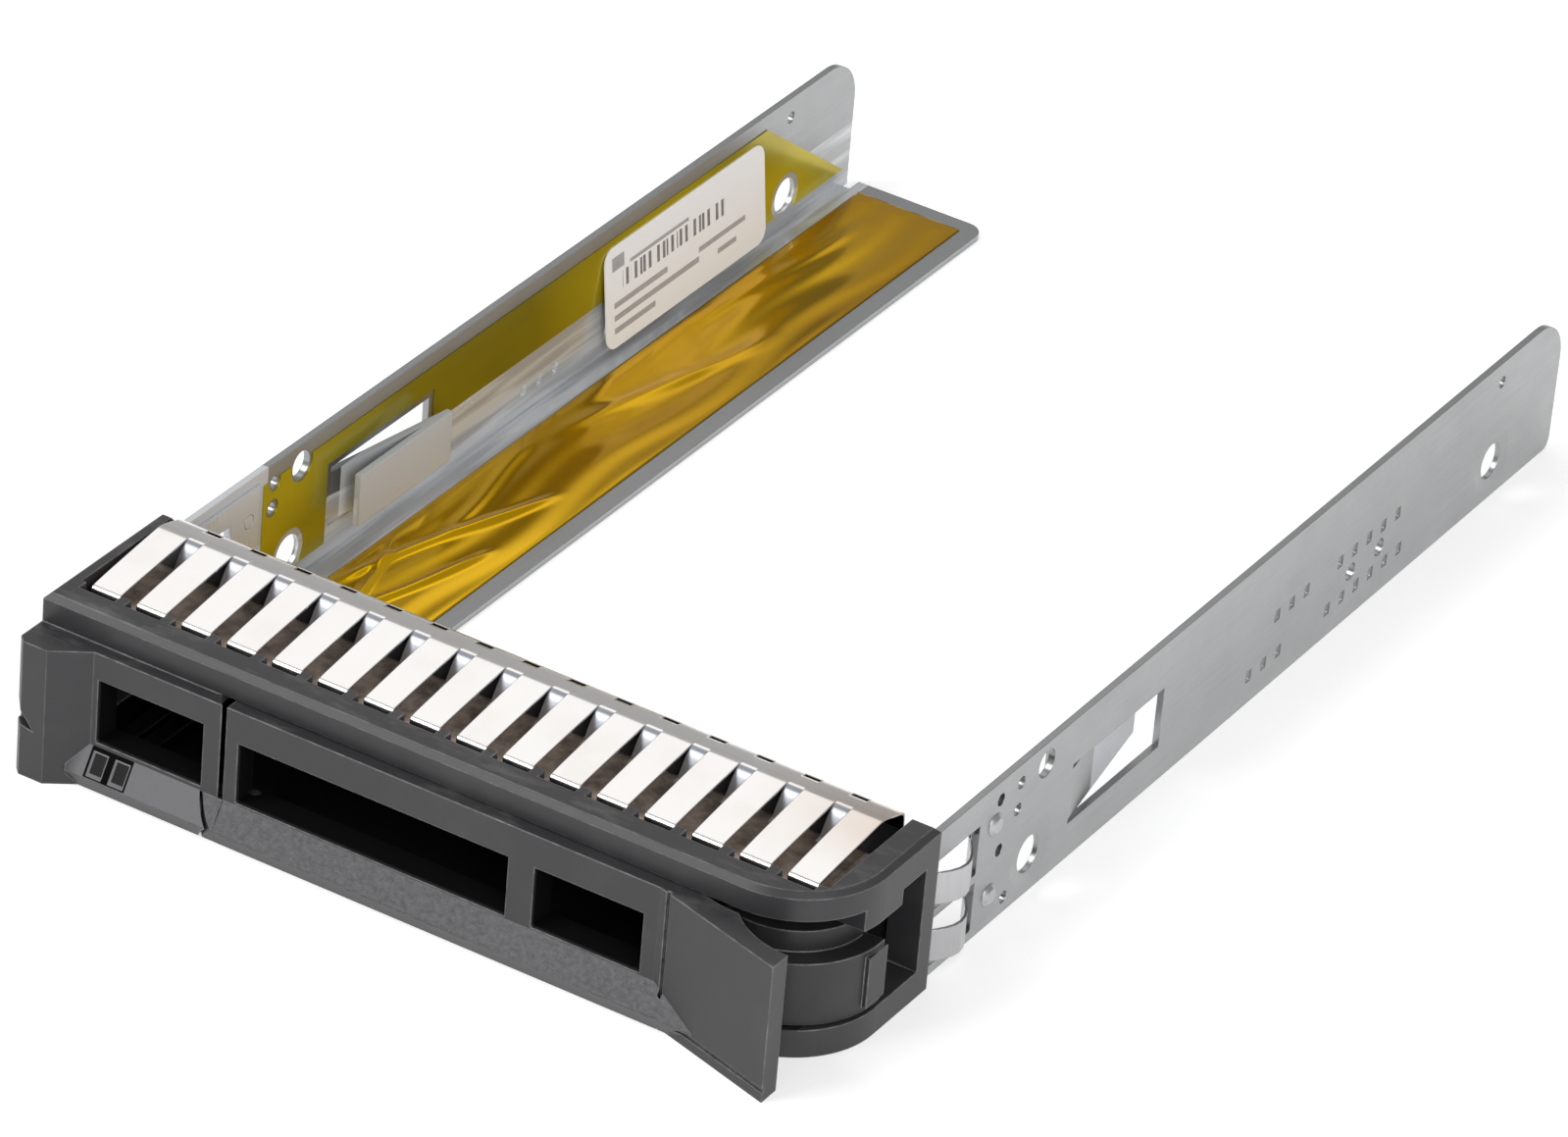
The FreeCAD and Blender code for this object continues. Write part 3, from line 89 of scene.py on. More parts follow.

# The spring tabs lanced from the rails, and the left rail beside the film on its shelf; the tabs
# and the bare wall are painted paler for the light they catch.
TAB_REACH = 34.95 * MM
TAB_LONG = (-18.4 * MM, -4.7 * MM)
TAB_HEIGHT = (3.7 * MM, 8.7 * MM)
FILM_EDGE = -32.96 * MM
WALL_MIDDLE = -35.4 * MM  # half way through the left rail's sheet
BEND_TOP = 6.3 * MM
BARE_REAR = -28.5 * MM  # rear end of the left rail's bare wall

# Parts of the contact strip, measured forward from its rear: the inside of the band, painted dark as
# shade, the curled web between two fingers, painted bluish grey as a reflection, with its lip,
# painted pale as a highlight, and the base, which lies below a height.
BAND_INSIDE = 1.6 * MM
WEB_START = 3.5 * MM
LIP_START = 5.45 * MM
LIP_END = 6.1 * MM
BASE_START = 4.0 * MM
BASE_TOP = 13.62 * MM
WARM_ACROSS = (22.0 * MM, 33.0 * MM)  # the tarnish comes in between these
WARM_ALONG = (-52.0 * MM, -46.5 * MM)


def colour_property(name, description, default):
    """Linear colour that the panel shows as a swatch."""
    return FloatVectorProperty(name=name, description=description, default=default, size=3,
                               subtype="COLOR", min=0.0, max=1.0)


def length_property(name, description, default):
    """Length in metres."""
    return FloatProperty(name=name, description=description, default=default, subtype="DISTANCE",
                         unit="LENGTH", precision=5)


class CaddyPlasticSettings(bpy.types.PropertyGroup):
    """Finish of the moulded parts."""
    body_colour: colour_property("Plastic", "Colour of the moulded plastic", (0.030, 0.029, 0.0315))
    # Shared by rubbed edges, where it is also a painted highlight, and by scuffed tops.
    worn_and_highlight_colour: colour_property("Worn edge", "Colour of rubbed edges", (0.36, 0.35, 0.35))
    latch_colour: colour_property("Latch", "Colour of the latch", (0.019, 0.0185, 0.0205))
    roughness: FloatProperty(name="Roughness", description="Roughness of the plastic", default=0.42,
                             min=0.0, max=1.0, subtype="FACTOR")
    # Painted light: the ledge's pale colour stands in for the light from above that falls on it.
    ledge_painted_light_colour: colour_property("Ledge", "Colour of the sloping ledge", (0.18, 0.176, 0.184))
    edge_radius: length_property("Edge radius", "Radius that moulded edges catch light with",
                                 0.00019)


class CaddyMetalSettings(bpy.types.PropertyGroup):
    """Finish of the sheet metal, pins and springs."""
    sheet_colour: colour_property("Sheet", "Colour of the rail sheet", (0.42, 0.425, 0.43))
    bright_colour: colour_property("Bright strip", "Colour of the contact strip",
                                   (0.86, 0.84, 0.82))
    wire_colour: colour_property("Spring steel", "Colour of pins and springs", (0.55, 0.55, 0.56))
    sheet_roughness: FloatProperty(name="Roughness", description="Roughness of the rail sheet",
                                   default=0.3, min=0.0, max=1.0, subtype="FACTOR")


class CaddyGasketSettings(bpy.types.PropertyGroup):
    """Sizes of the row of contact fingers."""
    metal: length_property("Metal", "Thickness of the strip", 0.00018)
    finger_wide: length_property("Finger width", "Width of a finger", 0.0028)
    finger_pitch: length_property("Finger pitch", "Pitch of the fingers", 0.00433)
    finger_count: IntProperty(name="Fingers", description="Number of fingers", default=16, min=2)
    crest_rise: length_property("Crest rise", "Crest below the top of the packed strip", 0.00002)


class CaddyFilmSettings(bpy.types.PropertyGroup):
    """Insulating film on the left rail."""
    film_colour: colour_property("Film", "Colour of the amber film", (0.95, 0.56, 0.004))
    deep_colour: colour_property("Film, deep", "Colour of the film where it lies close",
                                 (0.42, 0.21, 0.001))
    wall_colour: colour_property("Film on the wall", "Colour of the film on the upright wall",
                                 (0.66, 0.54, 0.016))
    crease_rise: length_property("Crease", "Height of the largest crease", 0.00035)


class CaddyLabelSettings(bpy.types.PropertyGroup):
    """Blank label with plain bars."""
    paper_colour: colour_property("Paper", "Colour of the label", (0.93, 0.92, 0.92))
    bar_colour: colour_property("Bars", "Colour of the plain bars and lines", (0.12, 0.09, 0.1))


class CaddyStageSettings(bpy.types.PropertyGroup):
    """Camera, floor and lamps."""
    lens: FloatProperty(name="Lens", description="Focal length on a 36 mm wide sensor",
                        default=213.6, min=20.0, subtype="DISTANCE_CAMERA")
    turn: FloatProperty(name="Turn", description="Camera's turn about the upright axis",
                        default=math.radians(29.464), subtype="ANGLE", unit="ROTATION")
    dip: FloatProperty(name="Dip", description="Camera's angle below the horizon",
                       default=math.radians(31.617), subtype="ANGLE", unit="ROTATION")
    roll: FloatProperty(name="Roll", description="Camera's turn about its own line of sight",
                        default=math.radians(5.100), subtype="ANGLE", unit="ROTATION")
    place: FloatVectorProperty(name="Camera", description="Place of the camera", size=3,
                               default=(0.31794, -0.56763, 0.40406), subtype="XYZ", unit="LENGTH",
                               precision=5)
    key_power: FloatProperty(name="Key", description="Power of the main soft lamp", default=4.5,
                             min=0.0, unit="POWER")
    fill_power: FloatProperty(name="Fill", description="Power of the front soft lamp", default=3.6,
                              min=0.0, unit="POWER")
    top_power: FloatProperty(name="Top", description="Power of the soft lamp above and behind",
                             default=0.68, min=0.0, unit="POWER")
    sky: FloatProperty(name="Sky", description="Strength of the even light", default=0.42, min=0.0)


class Signal:
    """A number in a shader: arithmetic on it adds Math nodes."""

    def __init__(self, shader, socket):
        self.shader, self.socket = shader, socket

    def math(self, operation, other=0.0, swapped=False):
        """Signal of one Math node on this one and another."""
        first, second = (other, self) if swapped else (self, other)
        node = self.shader.node("Math", {"operation": operation}, {0: first, 1: second})
        return Signal(self.shader, node.outputs[0])

    def __add__(self, other):
        return self.math("ADD", other)

    def __radd__(self, other):
        return self.math("ADD", other, True)

    def __sub__(self, other):
        return self.math("SUBTRACT", other)

    def __rsub__(self, other):
        return self.math("SUBTRACT", other, True)

    def __mul__(self, other):
        return self.math("MULTIPLY", other)

    def __rmul__(self, other):
        return self.math("MULTIPLY", other, True)

    def __truediv__(self, other):
        return self.math("DIVIDE", other)

    def __gt__(self, other):
        return self.math("GREATER_THAN", other)

    def __lt__(self, other):
        return self.math("LESS_THAN", other)

    def __abs__(self):
        return self.math("ABSOLUTE")

    def clamped(self):
        """The number held between 0 and 1."""
        return self.math("MAXIMUM", 0.0).math("MINIMUM", 1.0)

    def ramp(self, low, high):
        """0 below low, 1 above high, straight between."""
        return ((self - low) * (1.0 / (high - low))).clamped()

    def between(self, low, high):
        """1 where the number lies between two limits, else 0."""
        return (self > low) * (self < high)


class Shader:
    """Node tree of one material."""

    def __init__(self, name):
        self.material = bpy.data.materials.new(name)
        self.material.use_nodes = True
        self.tree = self.material.node_tree
        self.tree.nodes.clear()
        self.place = self.node("TexCoord").outputs["Object"]

    def node(self, kind, settings=None, sockets=None):
        """Add a node of a type: its settings first, then the values or links of its sockets."""
        node = self.tree.nodes.new("ShaderNode" + kind)
        for name, value in (settings or {}).items():
            setattr(node, name, value)
        for name, value in (sockets or {}).items():
            if isinstance(value, Signal):
                self.tree.links.new(value.socket, node.inputs[name])
            elif isinstance(value, bpy.types.NodeSocket):
                self.tree.links.new(value, node.inputs[name])
            else:
                node.inputs[name].default_value = value
        return node

    def axes(self):
        """X, Y and Z of the place on the piece, in metres."""
        parts = self.node("SeparateXYZ", sockets={0: self.place}).outputs
        return [Signal(self, parts[i]) for i in range(3)]

    def noise(self, scale, detail, roughness=0.5, stretch=(1.0, 1.0, 1.0)):
        """Noise in object space, 0 to 1, drawn out along an axis by a small stretch value there."""
        moved = self.node("Mapping", sockets={"Vector": self.place, "Scale": stretch}).outputs[0]
        node = self.node("TexNoise", sockets={"Vector": moved, "Scale": scale, "Detail": detail,
                                              "Roughness": roughness})
        return Signal(self, node.outputs["Fac"])

    def blend(self, amount, one, other):
        """Colour between two colours."""
        one, other = (tuple(c) + (1.0,) if isinstance(c, (tuple, list)) and len(c) == 3 else c
                      for c in (one, other))
        node = self.node("Mix", {"data_type": "RGBA"}, {0: amount, 6: one, 7: other})
        return node.outputs[2]

    def soft_edge(self, radius):
        """Normal rounded over sharp edges, and how near an edge a point is, 0 to 1."""
        rounded = self.node("Bevel", {"samples": 5}, {"Radius": radius}).outputs[0]
        plain = self.node("NewGeometry").outputs["Normal"]
        alike = self.node("VectorMath", {"operation": "DOT_PRODUCT"}, {0: rounded, 1: plain})
        return rounded, ((1.0 - Signal(self, alike.outputs["Value"])) * 6.0).clamped()

    def bump(self, height, depth, normal=None):
        """Normal disturbed by a height between 0 and 1 times a depth in metres."""
        sockets = {"Height": height, "Distance": depth, "Strength": 1.0}
        if normal is not None:
            sockets["Normal"] = normal
        return self.node("Bump", sockets=sockets).outputs[0]

    def finish(self, unlit=None, **values):
        """Principled surface with the given values or links, mixed with matt black as painted shade
        where unlit.
        """
        sockets = {name.replace("_", " ").title(): value for name, value in values.items()}
        surface = self.node("BsdfPrincipled", sockets=sockets).outputs[0]
        if unlit is not None:
            black = (0.006, 0.006, 0.006, 1.0)
            matt = self.node("BsdfDiffuse", sockets={"Color": black}).outputs[0]
            surface = self.node("MixShader", sockets={0: unlit, 1: surface, 2: matt}).outputs[0]
        self.node("OutputMaterial", sockets={"Surface": surface})
        return self.material


def dress(material, *names):
    """Give CAD nodes a material in their own slots."""
    for name in names:
        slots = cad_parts[name].data.materials
        slots.clear()
        slots.append(material)


def plastic_material(name, colour, settings, coarse=0.0, painted_inside_shade=1.0):
    """Moulded plastic: fine grain, faint cloudiness, rubbed edges with a painted highlight, scuffed
    tops and a ledge painted pale for the light that falls on it.

    A place is on the ledge where it is as far ahead of the front plane as it is below the ledge's
    top, times the slope.  Coarse gives the ledge the rough grain of the grip and mottles its painted
    pale colour.  The last argument paints shade: it makes the walls inside the bezel and the light
    pipes' sockets near black.
    """
    shader = Shader(name)
    across, along, up = shader.axes()
    grain = shader.noise(5200.0, 3.0, 0.6)
    cloud = shader.noise(160.0, 3.0)
    scuff = shader.noise(900.0, 4.0, 0.65)
    rub = shader.noise(420.0, 5.0, 0.7, (0.35, 1.0, 1.0))
    rounded, edge = shader.soft_edge(settings.edge_radius)
    # Edges lighten: partly rubbed wear, partly a painted highlight where rounded edges catch light.
    wear_and_highlight = edge * scuff.ramp(0.2, 0.7)
    slant = along - FRONT_PLANE + (LEDGE_TOP - up) * LEDGE_SLOPE
    ledge = (abs(slant) < NEAR) * up.between(LIP_HEIGHT + NEAR, LEDGE_TOP + NEAR)
    level = (abs(up - FACE_TOP) < 1.2 * NEAR) + (up > BEZEL_TOP - 2.0 * NEAR)
    # Painted shade: the walls inside the bezel are mixed to matt black, less so right of the latch
    # bay.
    inside = (abs(across) < INSIDE_REACH) * along.ramp(*INSIDE_FRONT) * (along < INSIDE_REAR)
    inside = inside * up.between(*INSIDE_HEIGHT) * (1.0 - across.ramp(*LATCH_BAY) * 0.45)
    # Painted shade: the light pipes' sockets in the ledge are mixed to matt black too.
    sockets = ledge * across.between(*SOCKETS) * (up > SOCKET_LOW)
    rough_grain = shader.noise(2300.0, 4.0, 0.7)
    depth = grain + ledge * rough_grain * (11.0 * coarse) + level * rub * 1.5
    tone = ((cloud - 0.5) * 0.16 + wear_and_highlight + level * rub.ramp(0.5, 0.72) * 0.2).clamped()
    base = shader.blend(tone, tuple(colour), tuple(settings.worn_and_highlight_colour))
    # Painted light: the ledge is blended towards a pale colour for the light that falls on it;
    # coarse mottles and darkens it.
    share = (ledge * (0.85 - 0.4 * coarse + (rough_grain - 0.5) * coarse)
             * across.ramp(*LEDGE_START)).clamped()
    base = shader.blend(share, base, tuple(settings.ledge_painted_light_colour))
    rough = cloud * 0.12 + (settings.roughness - 0.06) - wear_and_highlight * 0.1
    return shader.finish(unlit=((inside + sockets) * painted_inside_shade).clamped(), base_color=base,
                         roughness=rough.clamped(), normal=shader.bump(depth, 0.000008, rounded))


def sheet_material(name, colour, roughness, drawn=(1.0, 0.04, 1.0), mottle=0.16):
    """Rolled sheet metal: streaks drawn out as it was rolled, faint mottling and brighter edges.

    The lanced tabs and the left rail's bare wall are painted paler and less metallic, for the light
    they catch, not as a different metal.  The strip between that wall and the film on the shelf is
    streaked with painted bright highlights.
    """
    shader = Shader(name)
    across, along, up = shader.axes()
    streak = shader.noise(2600.0, 3.0, 0.6, drawn)
    cloud = shader.noise(210.0, 4.0, 0.6)
    lines = shader.noise(900.0, 2.0, 0.5, (1.0, 0.06, 1.0))
    rounded, edge = shader.soft_edge(0.00012)
    tab = (abs(across) < TAB_REACH) * along.between(*TAB_LONG) * up.between(*TAB_HEIGHT)
    beside_film = across < FILM_EDGE
    bend = beside_film * (across > WALL_MIDDLE) * (up < BEND_TOP)
    bare_wall_painted_light = beside_film * (along < BARE_REAR)
    tone = ((cloud - 0.5) * (2.0 * mottle) + (streak - 0.5) * 0.3 + 0.35 - edge * 0.35).clamped()
    base = shader.blend(tone, tuple(colour), tuple(0.62 * c for c in colour))
    # Painted light: the bare wall and the tabs are blended paler and made less metallic, and the
    # bend strip gets painted bright streaks.
    base = shader.blend(bare_wall_painted_light * 0.8, base, (0.70, 0.72, 0.74))
    base = shader.blend(tab * 0.85, base, (0.60, 0.62, 0.65))
    base = shader.blend(bend * (lines.ramp(0.42, 0.6) * 0.7 + 0.3), base, (0.72, 0.745, 0.78))
    rough = (cloud * 0.16 + streak * 0.1 + (roughness - 0.12) - edge * 0.08 - bend * 0.08).clamped()
    metal = (1.0 - tab * 0.8 - bend * 0.65 - bare_wall_painted_light * 0.6).clamped()
    return shader.finish(base_color=base, roughness=rough, metallic=metal,
                         normal=shader.bump(streak, 0.0000016, rounded))


def gasket_material(looks, sizes, left, rear):
    """Bright strip: nearly mirror, with faint rolling lines and warm tarnish at the last fingers.

    A place lies in a gap between fingers where its share of a pitch is past the finger's width.
    There the curled web is bluish grey, a painted reflection, and its lip pale, a painted highlight.
    The base below is a mottled brown.  Near the rear, faces that look forward are the inside of the
    band, painted dark as shade.
    """
    shader = Shader("gasket_bright_strip")
    across, along, up = shader.axes()
    streak = shader.noise(3000.0, 2.0, 0.5, (1.0, 0.05, 1.0))
    cloud = shader.noise(150.0, 3.0)
    patch = shader.noise(520.0, 4.0, 0.65)
    share = ((across - left) / sizes.finger_pitch).math("FRACT")
    gap = share > sizes.finger_wide / sizes.finger_pitch
    web = gap * along.between(rear - LIP_START, rear - WEB_START)
    lip = gap * along.between(rear - LIP_END, rear - LIP_START)
    low_part = (up < BASE_TOP) * (along < rear - BASE_START) * (1.0 - lip)
    normal = shader.node("NewGeometry").outputs["True Normal"]
    facing = Signal(shader, shader.node("SeparateXYZ", sockets={0: normal}).outputs[1])
    # Painted shade: faces inside the band near the rear are painted near black.
    band_inside_painted_shade = (facing < -0.05) * (along > rear - BAND_INSIDE)
    warm = across.ramp(*WARM_ACROSS) * along.ramp(*WARM_ALONG) * 0.5
    stain = (cloud.ramp(0.5, 0.85) * 0.2 + warm).clamped()
    base = shader.blend(stain, tuple(looks.bright_colour), (0.62, 0.46, 0.36))
    # Painted reflection: the curled web is bluish grey; painted highlight: its lip is pale.
    base = shader.blend(web * 0.9, base, (0.30, 0.32, 0.36))
    base = shader.blend(lip, base, (0.95, 0.92, 0.86))
    brown = shader.blend(patch.ramp(0.35, 0.68), (0.24, 0.19, 0.16), (0.62, 0.51, 0.42))
    base = shader.blend(low_part, base, brown)
    base = shader.blend(band_inside_painted_shade, base, (0.02, 0.016, 0.014))
    rough = (streak * 0.08 + cloud * 0.08 + 0.1 + low_part * 0.28 + web * 0.14).clamped()
    metal = 1.0 - low_part * 0.45 - web * 0.3 - lip * 0.6
    return shader.finish(base_color=base, metallic=metal, roughness=rough,
                         normal=shader.bump(streak, 0.000001))


def film_material(name, colour, deep, lie, shine):
    """Amber film over metal: deeper in broad drawn-out bands, with low soft ripples."""
    shader = Shader(name)
    band = shader.noise(75.0, 2.0, 0.5, lie)
    ripple = shader.noise(230.0, 2.0, 0.5, lie)
    tone = (band.ramp(0.38, 0.66) * 0.85 + (ripple - 0.5) * 0.3).clamped()
    base = shader.blend(tone, tuple(colour), tuple(deep))
    rough = (ripple * 0.12 + 0.14).clamped()
    return shader.finish(base_color=base, metallic=shine, roughness=rough,
                         normal=shader.bump(ripple, 0.00006), coat_weight=0.06, coat_roughness=0.04)


def label_material(settings):
    """Paper with plain bars and lines in rows.

    The ticked row is inked where two sines of Y, one fine and one wide, add up to more than 0.1.
    """
    shader = Shader("label_paper_plain")
    _, along, up = shader.axes()
    fibre = shader.noise(1800.0, 4.0, 0.6)
    fine, wide = ((along * (2.0 * math.pi / (pitch * MM))).math("SINE") for pitch in (0.72, 1.17))
    ticks = (fine + wide) > 0.1
    # Start, end, foot and top of each row in millimetres, and whether it is ticked.
    rows = ((22.4, 24.3, 8.9, 10.2, False), (25.2, 34.5, 8.75, 9.1, False),
            (24.0, 40.3, 6.9, 8.5, True), (22.6, 31.0, 5.35, 5.9, False),
            (22.6, 36.0, 4.15, 4.7, False), (22.6, 29.0, 2.95, 3.5, False),
            (36.0, 43.5, 5.0, 5.5, False), (39.0, 42.0, 3.6, 4.1, False))
    ink = None
    for start, end, foot, top, ticked in rows:
        area = along.between(start * MM, end * MM) * up.between(foot * MM, top * MM)
        area = area * (ticks if ticked else 0.72)
        ink = area if ink is None else ink + area
    base = shader.blend((ink * (fibre * 0.3 + 0.72)).clamped(),
                        tuple(settings.paper_colour), tuple(settings.bar_colour))
    return shader.finish(base_color=base, roughness=(fibre * 0.2 + 0.45).clamped(),
                         normal=shader.bump(fibre, 0.000004))


def clear_material():
    """Smoky plastic with a polished face, pale at its rim by a painted highlight; its middle and the
    stems are painted dark as shade.
    """
    shader = Shader("light_pipe_clear")
    across, along, up = shader.axes()
    haze = shader.noise(700.0, 3.0)
    rounded, edge = shader.soft_edge(0.00015)
    first, second = (across.between(*lens) for lens in LENSES)
    middle = (first + second) * up.between(*LENS_HEIGHT)
    # Painted highlight: the face is pale, palest at its edges.
    rim = (haze * 0.3 + 0.4 + edge * 0.4).clamped()
    base = shader.blend(rim, (0.03, 0.03, 0.03), (0.26, 0.26, 0.27))
    # Painted shade: the lens middles and the stems behind the front are near black.
    base = shader.blend(middle, base, (0.006, 0.006, 0.007))
    base = shader.blend(along > INSIDE_FRONT[1], base, (0.004, 0.004, 0.004))
    return shader.finish(base_color=base, roughness=(haze * 0.1 + 0.12).clamped(), normal=rounded,
                         coat_weight=0.4, coat_roughness=0.05)


def mesh_piece(name, points, quads, material, body, slot, *stood_for):
    """Object from a point array and a quad array, merged, shaded smooth, riding on its body."""
    mesh = bpy.data.meshes.new(name)
    mesh.from_pydata(points.tolist(), [], quads.tolist())
    work = bmesh.new()
    work.from_mesh(mesh)
    bmesh.ops.remove_doubles(work, verts=work.verts, dist=1e-6)
    bmesh.ops.dissolve_degenerate(work, edges=work.edges, dist=1e-7)
    bmesh.ops.recalc_face_normals(work, faces=work.faces)
    work.to_mesh(mesh)
    work.free()
    mesh.polygons.foreach_set("use_smooth", np.ones(len(mesh.polygons), bool))
    mesh.materials.append(material)
    piece = bpy.data.objects.new(name, mesh)
    bpy.context.scene.collection.objects.link(piece)
    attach(piece, body)
    if stood_for:
        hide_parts(*stood_for)
    return piece


def grid_quads(rows, columns, keep=None):
    """Quads of a grid whose points run column by column in each row, less those not kept."""
    row, column = np.meshgrid(np.arange(rows - 1), np.arange(columns - 1), indexing="ij")
    first = row * columns + column
    quads = np.stack([first, first + 1, first + columns + 1, first + columns], axis=-1)
    return quads[keep] if keep is not None else quads.reshape(-1, 4)


def smooth_path(corners, count):
    """Points evenly spaced along straight runs with their corners cut.

    Each pass puts new points at a quarter and three quarters of every run in place of its corners.
    """
    path = np.array(corners, float)
    for _ in range(4):
        cut = np.empty((2 * len(path) - 2, path.shape[1]))
        cut[0::2] = 0.75 * path[:-1] + 0.25 * path[1:]
        cut[1::2] = 0.25 * path[:-1] + 0.75 * path[1:]
        path = np.vstack([path[:1], cut, path[-1:]])
    run = np.concatenate([[0.0], np.cumsum(np.linalg.norm(np.diff(path, axis=0), axis=1))])
    at = np.linspace(0.0, run[-1], count)
    return np.stack([np.interp(at, run, path[:, i]) for i in range(path.shape[1])], axis=1)


def add_thickness(piece, thickness):
    """Give an open sheet its thickness below, whichever way its faces look on the whole."""
    normals = np.empty(len(piece.data.polygons) * 3)
    piece.data.polygons.foreach_get("normal", normals)
    looks_up = normals.reshape(-1, 3)[:, 2].sum() > 0
    solid = piece.modifiers.new("thickness", "SOLIDIFY")
    solid.thickness, solid.offset = thickness, -1.0 if looks_up else 1.0
    solid.use_even_offset = False


class CADDY_OT_contact_gasket(bpy.types.Operator):
    """Make the contact strip: band, lanced fingers over it, curled web and base"""
    bl_idname = "caddy.contact_gasket"
    bl_label = "Contact gasket"

    def execute(self, context):
        sizes = context.scene.caddy_gasket
        low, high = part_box("finger_gasket")
        material = gasket_material(context.scene.caddy_metal, sizes, low.x, high.y)
        self.band_and_fingers(sizes, low, high, material)
        self.base(sizes, low, high, material)
        return {"FINISHED"}

    def profiles(self, low, high, crest):
        """Y and Z along the band, along a finger and along a web, which all start in one point."""
        def by_crest(ahead, below):
            return high.y - ahead * MM, crest - below * MM

        def by_floor(ahead, above):
            return high.y - ahead * MM, low.z + above * MM

        def by_tip(behind, above):
            return low.y + behind * MM, low.z + above * MM

        root = by_crest(2.7, 0.13)
        band = (by_floor(0.0, 0.0), by_crest(0.0, 1.2), by_crest(0.35, 0.75), root)
        finger = (root, by_crest(3.5, 0.0), by_crest(4.1, 0.06),
                  by_tip(1.4, 4.88), by_tip(0.86, 4.68), by_tip(0.74, 4.05))
        web = (root, by_crest(3.4, 0.02), by_crest(4.05, 0.3), by_crest(4.7, 1.15),
               by_floor(5.2, 3.9), by_floor(5.5, 3.64), by_floor(6.0, 3.6))
        return smooth_path(band, 26), smooth_path(finger, 76), smooth_path(web, 76)

    def band_and_fingers(self, sizes, low, high, material):
        """Band with its slots, and the fingers and webs that start from it.

        Columns run across, rows along the strip.  The band's rows are the same in every column.
        Beyond them a finger column slopes to its tip and a web column curls down to the base.  A
        finger narrows by 4 % along its slope, and a quarter of an ellipse rounds its last twentieth.
        """
        band, finger, web = self.profiles(low, high, high.z - sizes.crest_rise)
        gap = sizes.finger_pitch - sizes.finger_wide
        across = np.array([0.0, 0.02, 0.2, 0.5, 0.8, 0.98, 1.0])
        columns, is_web, shares = [], [], []
        for number in range(sizes.finger_count):
            start = low.x + number * sizes.finger_pitch
            columns.append(start + across * sizes.finger_wide)
            is_web.append(np.zeros(len(across), bool))
            shares.append(across * 2.0 - 1.0)
            if number < sizes.finger_count - 1:
                columns.append(start + sizes.finger_wide + across * gap)
                is_web.append(np.ones(len(across), bool))
                shares.append(np.zeros(len(across)))
        columns, is_web, shares = (np.concatenate(item) for item in (columns, is_web, shares))
        rows = len(band) + len(finger) - 1
        place = np.empty((rows, len(columns), 3))
        place[:, :, 0] = columns
        place[:len(band), :, 1:] = band[:, None, :]
        place[len(band):, ~is_web, 1:] = finger[1:, None, :]
        place[len(band):, is_web, 1:] = web[1:, None, :]
        run = np.linspace(0.0, 1.0, len(finger))[1:]
        taper = 0.04 * np.clip((run - 0.3) / 0.6, 0, 1)
        tip = np.clip((run - 0.95) / 0.05, 0, 1)
        narrow = taper + 0.2 * (1.0 - np.sqrt(1.0 - tip ** 2))
        shrink = narrow[:, None] * shares[None, ~is_web] * sizes.finger_wide / 2
        place[len(band):, ~is_web, 0] -= shrink
        keep = np.ones((rows - 1, len(columns) - 1), bool)
        keep[:, is_web[1:] != is_web[:-1]] = False
        ahead = high.y - 0.5 * (band[1:, 0] + band[:-1, 0])
        slot_rows = np.zeros(rows - 1, bool)
        slot_rows[:len(ahead)] = (ahead > 0.75 * MM) & (ahead < 1.35 * MM)
        keep[np.ix_(slot_rows, is_web[1:] & is_web[:-1])] = False
        piece = mesh_piece("gasket_band_and_fingers", place.reshape(-1, 3),
                           grid_quads(rows, len(columns), keep), material, "carrier",
                           "gasket_steel", "finger_gasket")
        add_thickness(piece, sizes.metal)

    def base(self, sizes, low, high, material):
        """Sheet under the fingers, waved by a sine across each pitch times half a sine along."""
        along = np.linspace(low.y + 0.98 * MM, high.y - 5.0 * MM, 30)
        across = np.linspace(low.x, high.x, 140)
        y, x = np.meshgrid(along, across, indexing="ij")
        wave = np.sin((x - low.x) / sizes.finger_pitch * 2.0 * np.pi)
        swell = np.sin(np.pi * (y - along[0]) / (along[-1] - along[0]))
        z = low.z + 3.64 * MM + 0.02 * MM * wave * swell
        points = np.stack([x, y, z], axis=-1).reshape(-1, 3)
        piece = mesh_piece("gasket_base", points, grid_quads(len(along), len(across)), material,
                           "carrier", "gasket_steel")
        add_thickness(piece, sizes.metal)


